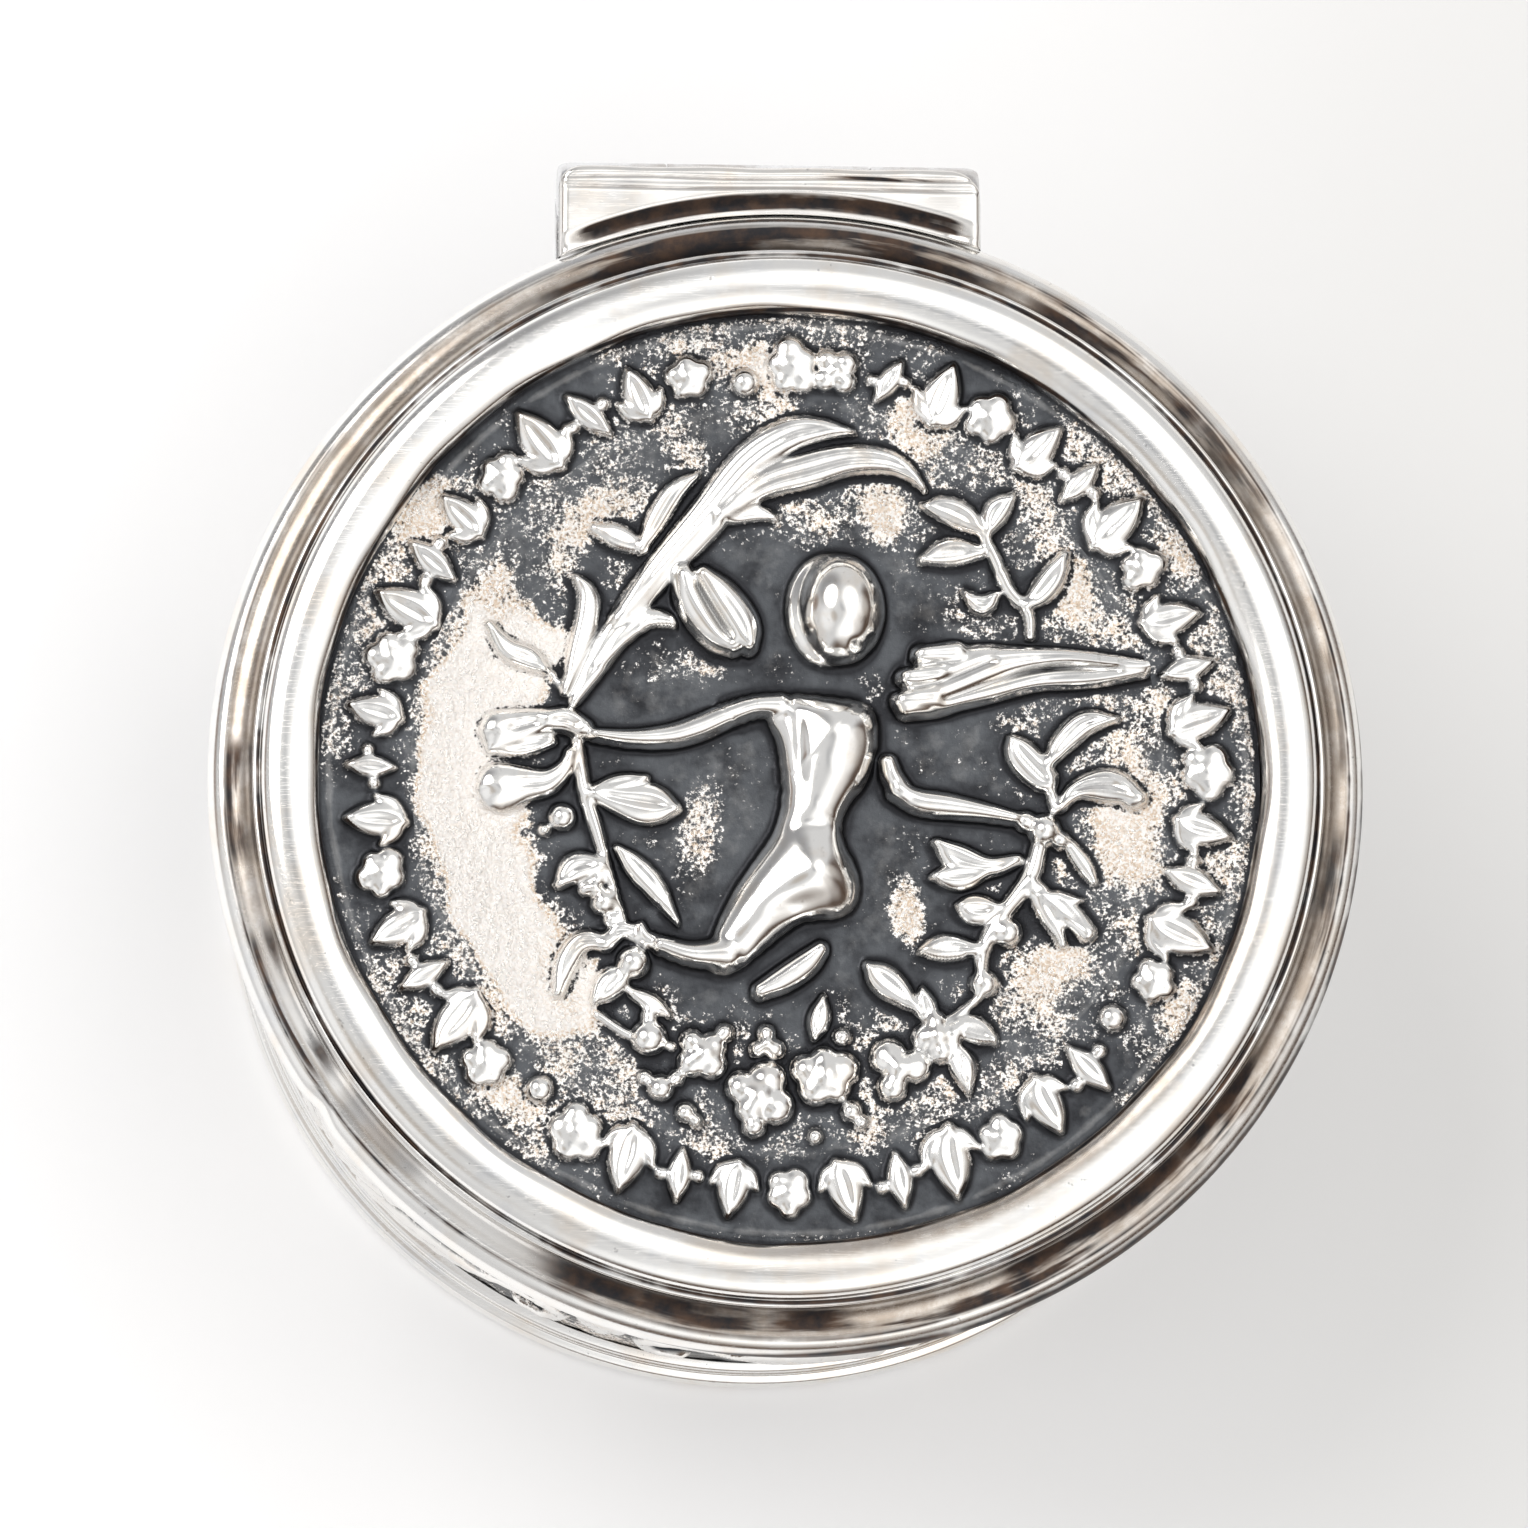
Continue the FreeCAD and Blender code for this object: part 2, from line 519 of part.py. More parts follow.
def make_relief_plate(doc, sheet):
    """Chased disc: winged child seen from behind, palm and sprays, garland, and ring of marks."""
    ring, dish = lid_levels(sheet)
    scale = (sheet.field_radius - sheet.ring_width) / DRAWN_RADIUS
    rise = sheet.relief_height
    sunk = sheet.plate_thickness * RELIEF_ROOT
    raised = []
    for group in (PALM, HAND_SPRAY, RIGHT_SPRAY, TOP_SPRAY, GARLAND_LEAVES):
        for x0, y0, x1, y1, width, height in group:
            raised.append(chased_leaf(Vector(x0, y0, 0) * scale, Vector(x1, y1, 0) * scale,
                                      width * scale, height * rise, dish, sunk))
    for x, y, radius, height in GARLAND_FLOWERS:
        raised.append(flower(Vector(x, y, 0) * scale, radius * scale, height * rise, dish, sunk))
    for height, line in WINGS + CHILD:
        places = [(Vector(x, y, 0) * scale, half * scale) for x, y, half in line]
        raised.append(swept(places, height * rise, dish, sunk))

    middle = sheet.field_radius - sheet.ring_width / 2
    half = sheet.ring_width * 0.3
    for i, angle in enumerate(ring_marks()):
        out = Vector(math.cos(math.radians(angle)), math.sin(math.radians(angle)), 0)
        around = Vector(-out.y, out.x, 0)
        lean = around * (half * MARK_LEAN * (-1) ** i)
        raised.append(chased_leaf(out * (middle - half) - lean, out * (middle + half) + lean,
                                  half * MARK_WIDTH, MARK_RISE * rise, ring, sunk, small=True))
    at = Vector(math.cos(math.radians(QUATREFOIL_AT)), math.sin(math.radians(QUATREFOIL_AT)), 0) * middle
    for i in range(4):
        turn = math.radians(QUATREFOIL_AT + 90 * i)
        petal = Vector(math.cos(turn), math.sin(turn), 0)
        raised.append(chased_leaf(at, at + petal * half, half * MARK_WIDTH, MARK_RISE * rise, ring, sunk, small=True))
    for angle in PELLETS_AT:
        at = Vector(math.cos(math.radians(angle)), math.sin(math.radians(angle)), 0) * middle
        raised.append(stud(at, half * MARK_WIDTH / 2, MARK_RISE * rise, ring, sunk))

    work = raised[0].multiFuse(raised[1:])
    reach = work.BoundBox
    work = work.common(Part.makeCylinder(sheet.field_radius, reach.ZLength, Vector(0, 0, reach.ZMin)))
    plate = doc.addObject("Part::Feature", "relief_plate")
    plate.Label = "relief_plate"
    plate.Shape = plate_blank(sheet).fuse(work).removeSplitter()
    return plate


def wall_motif(width, height):
    """One repeat of the wall ornament, drawn flat as leaves: root, tip, width, and whether small."""
    half = width / 2
    leaves = [(Vector(0, 0.08 * height, 0), Vector(0, 0.74 * height, 0), 0.38 * half, False)]
    for side in (-1, 1):
        leaves.append((Vector(side * 0.08 * half, 0.1 * height, 0),
                       Vector(side * 0.38 * half, 0.52 * height, 0), 0.27 * half, True))
        leaves.append((Vector(side * 0.12 * half, 0.04 * height, 0),
                       Vector(side * 0.62 * half, 0.22 * height, 0), 0.24 * half, True))
        centre = Vector(side * 0.42 * half, 0.76 * height, 0)
        for i in range(SCROLL_LEAVES):
            turns = [math.radians(SCROLL_START + SCROLL_STEP * (i + k)) for k in (0, 1)]
            reach = 0.2 * height * (1 - 0.15 * i)
            ends = [centre + Vector(side * math.cos(t), math.sin(t), 0) * reach for t in turns]
            leaves.append((ends[0], ends[1], 0.17 * half, True))
    return leaves


def make_wall(doc, sheet):
    """Sheet tube whose outside is chased with leaves, scrolls and flowers between two wires."""
    low = sheet.foot_rise
    high = sheet.mouth_level - max(sheet.mouth_drop, sheet.knuckle_radius + sheet.bearer_leaf)
    radius = sheet.wall_radius
    top = sheet.mouth_level + sheet.lip_rise
    tube = Part.makeCylinder(radius, top - sheet.base_thickness, Vector(0, 0, sheet.base_thickness))
    tube = tube.cut(Part.makeCylinder(radius - sheet.wall_thickness, top, Vector(0, 0, 0)))
    repeats = int(round(sheet.wall_repeats))
    repeat_width = 2 * math.pi * radius / repeats
    margin = (high - low) * 0.04
    band = high - low - 2 * margin
    rise = sheet.wall_relief
    sunk = sheet.wall_thickness * 0.45
    raised = []
    for i in range(repeats):
        start = math.degrees(2 * math.pi * i / repeats)
        for root, tip, width, small in wall_motif(repeat_width, band):
            middle = (root + tip) * 0.5
            leaf = chased_leaf(root - middle, tip - middle, width, rise, 0, sunk, small)
            raised.append(on_wall(leaf, middle, start, radius, low + margin))
        rosette = flower(Vector(0, 0, 0), band * 0.17, rise, 0, sunk)
        raised.append(on_wall(rosette, Vector(repeat_width / 2, band * 0.55, 0), start, radius, low + margin))
    wall = doc.addObject("Part::Feature", "body_wall")
    wall.Label = "body_wall"
    wall.Shape = tube.fuse(raised[0].multiFuse(raised[1:])).removeSplitter()
    return wall


def on_wall(piece, middle, start, radius, level):
    """Stands a flat-drawn piece on the outside of the wall at its own place round it."""
    turn = start + math.degrees(middle.x / radius)
    upright = Placement(Vector(radius, 0, level + middle.y), Rotation(Vector(0, 1, 0), Vector(0, 0, 1), Vector(1, 0, 0)))
    piece.Placement = Placement(Vector(0, 0, 0), Rotation(Vector(0, 0, 1), turn)).multiply(upright)
    return piece


def main():
    os.makedirs("parts", exist_ok=True)
    doc = FreeCAD.newDocument("keepsake_box")
    sheet = fill_sheet(doc)
    pieces = make_base(doc, sheet)
    pieces.append(make_wall(doc, sheet))
    mouth = make_mouth(doc, sheet)
    frame = make_frame(doc, sheet)
    pieces += [mouth, frame, make_relief_plate(doc, sheet)]
    pieces.append(make_outer_knuckle(doc, "knuckle_left", HINGE_LEFT))
    pieces.append(make_outer_knuckle(doc, "knuckle_right", f"{MIDDLE_RIGHT} + knuckle_gap / 2"))
    pieces.append(make_middle_knuckle(doc))
    pin = bar_object(doc, "hinge_pin", "pin_radius", "hinge_width", HINGE_LEFT, PIN_Y, "mouth_level")
    pin.Label = "hinge_pin"
    pieces += [pin, make_bearer(doc, mouth), make_cover(doc, sheet, frame)]
    doc.recompute()

    for item in doc.Objects:
        if "Invalid" in item.State or "Error" in item.State:
            raise RuntimeError(f"{item.Label} did not compute: {item.State}")
    for piece in pieces:
        if piece.Shape.isNull() or not piece.Shape.isValid():
            raise RuntimeError(f"{piece.Label} has no valid shape")
        print(piece.Label, len(piece.Shape.Solids), round(piece.Shape.Volume, 2))
        piece.Shape.exportStep(f"parts/{piece.Label}.step")


main()
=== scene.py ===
import math

import bmesh
import bpy
import numpy as np
from mathutils import Matrix, Vector


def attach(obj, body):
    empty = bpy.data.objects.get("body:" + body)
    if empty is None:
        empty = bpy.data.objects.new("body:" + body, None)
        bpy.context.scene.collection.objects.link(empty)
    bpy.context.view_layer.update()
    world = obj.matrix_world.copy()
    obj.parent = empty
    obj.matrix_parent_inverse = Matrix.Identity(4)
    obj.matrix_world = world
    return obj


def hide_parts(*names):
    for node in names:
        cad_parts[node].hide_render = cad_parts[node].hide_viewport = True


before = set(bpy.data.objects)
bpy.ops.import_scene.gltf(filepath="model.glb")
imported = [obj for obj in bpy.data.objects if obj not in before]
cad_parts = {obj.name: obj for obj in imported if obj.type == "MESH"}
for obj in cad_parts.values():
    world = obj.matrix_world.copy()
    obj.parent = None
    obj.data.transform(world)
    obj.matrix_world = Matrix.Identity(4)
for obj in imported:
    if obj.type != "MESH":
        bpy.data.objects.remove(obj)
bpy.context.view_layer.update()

# Lengths in this script are millimetres and are turned into metres when a piece is made.
MM = 0.001
TURN = 2 * math.pi

# Levels of the chased disc.
RING_LEVEL = 20.42
DISH_LEVEL = 20.07
DISH_EDGE = 13.05
PLATE_EDGE = 16.32
PLATE_SHEET = 0.5

# Faces round each turned piece.
EDGE_FACES = 600
MOULDING_FACES = 720
WIRE_FACES = 480
LINING_FACES = 240
BARREL_FACES = 64

# Everything chased on the disc is a line of places x, y, half width, seen from above.
# A line comes with its rise above the ground.
LIMB_FORMS = [
    (0.90, [(-2.1, -6.15, 0.62), (-3.3, -6.2, 0.46), (-4.4, -5.9, 0.36)]),
    (0.60, [(-4.2, -5.95, 0.32), (-4.9, -5.6, 0.28), (-5.1, -5.2, 0.18)]),
    (0.75, [(-0.95, -7.45, 0.36), (-0.2, -7.05, 0.5), (0.6, -6.5, 0.5), (1.1, -6.0, 0.34)]),
    (0.95, [(-0.3, 2.5, 0.5), (-1.2, 2.45, 0.44), (-2.2, 2.1, 0.48), (-3.1, 1.7, 0.5), (-4.1, 1.4, 0.46),
            (-5.4, 1.3, 0.36), (-6.7, 1.4, 0.26)]),
    (0.90, [(3.45, 0.55, 0.36), (3.6, 0.05, 0.42), (3.9, -0.45, 0.46)]),
    (0.88, [(3.75, -0.45, 0.42), (4.5, -0.8, 0.5), (5.4, -0.92, 0.5), (6.5, -1.08, 0.4), (7.8, -1.35, 0.28)]),
]
# Outline of back, seat and thigh, which swell as one rounded form.
TORSO = [
    (-0.9, 2.75), (0.2, 2.95), (1.4, 2.85), (2.5, 2.7), (3.0, 2.3), (3.12, 1.4), (2.95, 0.5), (2.62, -0.3),
    (2.1, -0.95), (1.85, -1.6), (1.95, -2.3), (2.3, -3.0), (2.48, -3.7), (2.35, -4.4), (1.85, -4.85),
    (1.2, -4.95), (0.5, -5.05), (-0.2, -5.5), (-0.9, -6.1), (-1.7, -6.75), (-2.4, -6.95), (-2.85, -6.6),
    (-2.7, -5.8), (-2.35, -4.9), (-1.85, -3.9), (-1.25, -3.0), (-0.7, -2.2), (-0.35, -1.4), (-0.22, -0.5),
    (-0.3, 0.5), (-0.45, 1.3), (-0.75, 1.95),
]
# Soft swellings and dips of the torso: place, half sizes, turn in degrees, height.
SWELLS = [
    (1.85, 1.7, 1.0, 0.8, 0, 0.24), (1.7, 0.1, 0.8, 1.0, 20, 0.10), (1.0, -3.4, 1.0, 1.0, 0, 0.42),
    (-0.8, -4.7, 0.7, 1.2, -35, 0.14), (0.35, 1.0, 0.22, 1.5, 3, -0.14), (0.9, -1.7, 0.9, 0.35, 10, -0.12),
    (0.1, -4.55, 0.9, 0.28, 15, -0.14), (-1.9, -6.2, 0.28, 0.5, 30, -0.10), (0.4, 2.3, 1.2, 0.22, -5, 0.08),
]
# Skull and hair: middle, half sizes, rise.
HEAD_FORMS = [(1.42, 5.9, 1.56, 2.06, 0.8), (1.84, 5.92, 1.54, 1.97, 1.75)]
# Cut line under the cheek, with its depth first.
HEAD_CUTS = [
    (0.16, [(2.2, 4.5, 0.12), (2.6, 4.55, 0.15), (2.9, 4.85, 0.1)]),
]
# Feathers of the small left wing and the long right wing.
WING_FORMS = [
    (0.95, [(-3.6, 7.0, 0.45), (-3.2, 6.2, 0.8), (-2.5, 5.2, 0.8), (-1.9, 4.6, 0.45)]),
    (1.15, [(-2.95, 7.0, 0.4), (-2.3, 6.2, 0.75), (-1.7, 5.3, 0.78), (-1.4, 4.6, 0.4)]),
    (0.95, [(4.1, 2.5, 0.5), (5.2, 3.2, 1.05), (6.5, 3.85, 0.95), (7.8, 4.15, 0.6), (9.5, 4.25, 0.42),
            (11.2, 4.05, 0.38), (12.6, 3.95, 0.2)]),
    (0.80, [(5.2, 2.7, 0.5), (6.8, 3.1, 0.5), (8.6, 3.5, 0.42), (10.6, 3.6, 0.38), (12.3, 3.75, 0.22)]),
    (1.00, [(4.6, 4.3, 0.42), (5.8, 4.4, 0.5)]),
    (1.05, [(4.1, 3.5, 0.42), (5.2, 3.6, 0.5)]),
    (1.00, [(3.9, 2.7, 0.4), (5.0, 2.8, 0.5)]),
]
# Cut lines between the feathers, with their depth first.
WING_CUTS = [
    (0.30, [(-3.2, 6.7, 0.08), (-2.8, 6.0, 0.13), (-2.3, 5.2, 0.13), (-2.0, 4.8, 0.08)]),
    (0.20, [(5.4, 2.75, 0.08), (7.2, 3.4, 0.12), (9.4, 3.95, 0.1), (11.4, 3.85, 0.06)]),
    (0.16, [(4.4, 3.1, 0.06), (5.6, 3.5, 0.1), (7.0, 4.1, 0.08)]),
]
# Leaves of the palm, the spray in the hand, the sprays at the right and the garland.
LEAVES = [
    (0.45, [(-7.4, 2.6, 0.2), (-6.35, 4.4, 0.42), (-5.1, 6.4, 0.45), (-3.8, 7.8, 0.45), (-2.4, 9.2, 0.4)]),
    (0.55, [(-5.9, 5.5, 0.28), (-4.5, 7.4, 0.37), (-3.0, 9.2, 0.42), (-1.5, 11.0, 0.5), (-0.1, 11.95, 0.5),
            (1.1, 12.2, 0.35), (2.3, 12.1, 0.06)]),
    (0.60, [(-2.4, 9.2, 0.3), (-0.85, 10.3, 0.45), (0.7, 10.8, 0.52), (2.1, 11.15, 0.45), (3.4, 11.1, 0.36),
            (4.2, 10.7, 0.22), (4.75, 10.1, 0.06)]),
    (0.40, [(-2.0, 9.1, 0.2), (-1.1, 9.3, 0.26), (-0.4, 9.1, 0.08)]),
    (0.50, [(-3.1, 10.6, 0.06), (-3.95, 9.95, 0.3), (-4.6, 8.9, 0.32), (-5.1, 7.9, 0.15)]),
    (0.45, [(-6.8, 8.7, 0.1), (-5.9, 8.4, 0.36), (-5.0, 8.0, 0.2)]),
    (0.50, [(-7.4, 7.0, 0.08), (-6.95, 6.4, 0.3), (-6.95, 5.5, 0.36), (-7.3, 4.2, 0.3), (-7.7, 2.9, 0.14)]),
    (0.50, [(-10.4, 5.3, 0.08), (-9.7, 4.4, 0.3), (-9.0, 4.1, 0.34), (-8.4, 3.7, 0.15)]),
    (0.35, [(-8.2, 3.6, 0.08), (-7.7, 2.9, 0.13)]),
    (0.50, [(-6.5, 3.9, 0.16), (-5.8, 4.8, 0.28), (-4.9, 5.5, 0.3), (-4.2, 5.5, 0.22), (-3.9, 5.3, 0.08)]),
    (0.55, [(-6.7, -0.6, 0.22), (-5.8, -0.8, 0.45), (-4.8, -0.95, 0.62), (-3.9, -1.1, 0.2)]),
    (0.45, [(-6.6, -0.4, 0.16), (-5.8, -0.2, 0.26), (-4.9, -0.05, 0.12)]),
    (0.50, [(-5.9, -2.5, 0.12), (-5.2, -3.2, 0.36), (-4.5, -4.0, 0.32), (-3.8, -5.1, 0.08)]),
    (0.55, [(-7.9, -3.8, 0.16), (-7.3, -3.2, 0.45), (-6.5, -3.1, 0.26)]),
    (0.45, [(-7.95, -7.6, 0.15), (-7.65, -6.5, 0.32), (-7.1, -5.75, 0.32), (-6.3, -5.8, 0.26)]),
    (0.50, [(-6.3, -5.85, 0.26), (-5.7, -5.35, 0.28), (-4.8, -5.8, 0.2)]),
    (0.50, [(-6.65, -7.8, 0.18), (-6.1, -7.2, 0.45), (-5.6, -6.9, 0.2)]),
    (0.45, [(-5.4, -7.5, 0.16), (-4.7, -7.9, 0.28), (-4.1, -8.3, 0.1)]),
    (0.50, [(4.6, 9.6, 0.06), (5.4, 9.5, 0.38), (6.1, 9.2, 0.4), (6.7, 8.7, 0.16)]),
    (0.50, [(6.9, 8.7, 0.18), (7.2, 9.4, 0.4), (7.8, 9.95, 0.08)]),
    (0.50, [(8.2, 6.1, 0.15), (8.75, 6.6, 0.36), (9.2, 7.2, 0.36), (9.6, 8.0, 0.06)]),
    (0.48, [(4.6, 7.7, 0.12), (5.6, 8.0, 0.42), (6.7, 8.0, 0.2)]),
    (0.45, [(6.1, 6.6, 0.08), (6.7, 6.15, 0.32), (7.2, 6.5, 0.14)]),
    (0.55, [(7.7, 1.5, 0.1), (8.1, 0.9, 0.48), (8.8, 0.15, 0.45), (9.1, -0.1, 0.15)]),
    (0.55, [(9.0, 0.6, 0.18), (9.5, 1.35, 0.36), (10.3, 2.05, 0.38), (11.4, 2.15, 0.08)]),
    (0.55, [(9.4, -0.95, 0.16), (10.0, -0.3, 0.3), (11.1, -0.15, 0.5), (12.1, -0.6, 0.25)]),
    (0.45, [(9.5, -1.9, 0.14), (10.2, -2.9, 0.24), (10.6, -3.6, 0.08)]),
    (0.55, [(7.9, -2.8, 0.2), (6.9, -3.05, 0.32), (5.9, -2.8, 0.45), (5.1, -2.2, 0.14)]),
    (0.50, [(6.9, -3.2, 0.18), (5.9, -3.35, 0.45), (5.0, -3.4, 0.12)]),
    (0.50, [(7.1, -4.5, 0.24), (6.5, -4.55, 0.46), (5.9, -4.4, 0.12)]),
    (0.50, [(4.5, -6.0, 0.06), (5.4, -5.85, 0.4), (6.5, -5.9, 0.2)]),
    (0.50, [(8.4, -3.5, 0.24), (9.0, -4.5, 0.38), (9.5, -5.8, 0.08)]),
    (0.50, [(8.8, -4.0, 0.2), (9.5, -4.4, 0.35), (10.3, -5.3, 0.3)]),
    (0.40, [(9.3, -4.0, 0.18), (10.1, -4.2, 0.08)]),
    (0.60, [(2.7, -6.5, 0.12), (3.3, -7.0, 0.46), (3.9, -7.5, 0.36), (4.5, -8.1, 0.08)]),
    (0.55, [(0.9, -9.0, 0.14), (1.05, -8.4, 0.34), (1.2, -7.6, 0.08)]),
    (0.55, [(5.9, -8.6, 0.26), (6.4, -8.7, 0.42), (7.1, -9.1, 0.14)]),
    (0.50, [(5.7, -9.4, 0.26), (6.0, -10.0, 0.4), (6.2, -10.9, 0.1)]),
    (0.50, [(4.9, -8.4, 0.24), (4.7, -7.9, 0.36), (4.6, -7.3, 0.08)]),
    (0.45, [(-8.2, 1.2, 0.2), (-9.2, 1.0, 0.3), (-10.3, 0.9, 0.15)]),
]
# Stems of the sprays and the cord of the garland.
STEMS = [
    (0.40, [(-7.3, 1.3, 0.2), (-7.05, -0.4, 0.22), (-6.6, -1.95, 0.2), (-6.1, -3.7, 0.14),
            (-5.7, -5.0, 0.12)]),
    (0.40, [(8.4, 5.05, 0.12), (8.3, 5.9, 0.18), (7.65, 6.7, 0.2), (7.15, 7.8, 0.2), (6.7, 8.7, 0.16)]),
    (0.40, [(9.2, -1.0, 0.16), (9.05, -0.1, 0.18), (8.9, 0.8, 0.14)]),
    (0.45, [(8.7, -2.2, 0.24), (8.35, -3.4, 0.28), (7.55, -4.5, 0.25), (6.9, -5.5, 0.24), (6.65, -6.4, 0.2),
            (6.9, -7.3, 0.14)]),
    (0.35, [(-6.6, -8.3, 0.12), (-5.5, -9.0, 0.14), (-4.0, -9.4, 0.14)]),
    (0.35, [(4.5, -8.9, 0.12), (5.8, -8.2, 0.14), (6.8, -7.4, 0.12)]),
]
# Knobs, buds and berries: place, half width, rise.
KNOBS = [
    (-6.35, -4.4, 0.5, 0.6), (-6.1, -5.0, 0.3, 0.45), (-5.35, -6.5, 0.6, 0.75), (-7.8, -1.45, 0.5, 0.55),
    (-8.4, -1.9, 0.25, 0.4), (8.85, -1.75, 0.62, 0.85), (8.2, -1.45, 0.42, 0.7), (9.4, -2.1, 0.35, 0.6),
    (7.55, -5.3, 0.55, 0.6), (6.75, -7.1, 0.52, 0.55), (-4.8, -9.1, 0.66, 0.7), (-4.8, -8.35, 0.34, 0.5),
    (-4.4, -10.85, 0.5, 0.55), (-4.95, -10.5, 0.3, 0.4), (-3.85, -10.5, 0.32, 0.45),
    (-3.55, -11.7, 0.38, 0.5), (-3.2, -12.0, 0.26, 0.4), (1.85, -9.0, 0.34, 0.45), (2.15, -11.6, 0.4, 0.5),
    (2.5, -12.0, 0.28, 0.4), (0.9, -12.5, 0.3, 0.4), (11.9, -0.6, 0.45, 0.5), (-9.9, 1.5, 0.62, 0.6),
    (-9.9, -0.45, 0.68, 0.6), (-8.0, 1.95, 0.4, 0.55), (-1.2, -12.15, 0.46, 0.6), (-2.2, -8.9, 0.36, 0.5),
]
# Plump flowers and fruit: place, half width, rise, lobes and where the first lobe points in degrees.
FLOWERS = [
    (-2.95, -9.65, 0.95, 0.75, 4, 40), (-0.76, -9.3, 0.66, 0.65, 3, 90), (-1.07, -11.1, 1.15, 0.8, 4, 60),
    (1.25, -10.35, 1.1, 0.8, 5, 20), (3.8, -10.1, 1.15, 0.72, 3, 130), (5.15, -8.95, 0.9, 0.75, 4, 10),
    (-6.7, -3.9, 0.62, 0.55, 3, 70),
]
# The hand and the flared flowers it holds at the left.
HAND_FORMS = [
    (0.80, [(-7.1, 1.6, 0.34), (-7.7, 1.9, 0.4), (-8.3, 1.85, 0.35)]),
    (0.70, [(-8.4, 1.9, 0.35), (-9.1, 1.7, 0.5), (-9.9, 1.5, 0.62)]),
    (0.60, [(-7.5, 0.8, 0.18), (-7.7, 0.25, 0.25), (-8.3, -0.25, 0.38), (-9.1, -0.35, 0.5),
            (-9.9, -0.45, 0.7)]),
]


def curve(points, steps=6):
    """The same line with smooth bends."""
    given = np.array(points, float)
    given = np.vstack((2 * given[0] - given[1], given, 2 * given[-1] - given[-2]))
    out = []
    for i in range(1, len(given) - 2):
        a, b, c, d = given[i - 1:i + 3]
        for t in np.linspace(0, 1, steps, endpoint=False):
            out.append(0.5 * (2 * b + (c - a) * t + (2 * a - 5 * b + 4 * c - d) * t ** 2
                              + (3 * b - a - 3 * c + d) * t ** 3))
    out.append(given[-2])
    out = np.array(out)
    out[:, 2] = np.maximum(out[:, 2], 0.04)
    return out


def crown(share, power=2):
    """Rounded height of a form: 1 along its middle and 0 from its edge on."""
    return np.sqrt(np.clip(1 - share ** power, 0, 1))


def spot(x, y, radius):
    """A round place, as a very short line."""
    return np.array([(x - 0.01, y, radius), (x + 0.01, y, radius)])


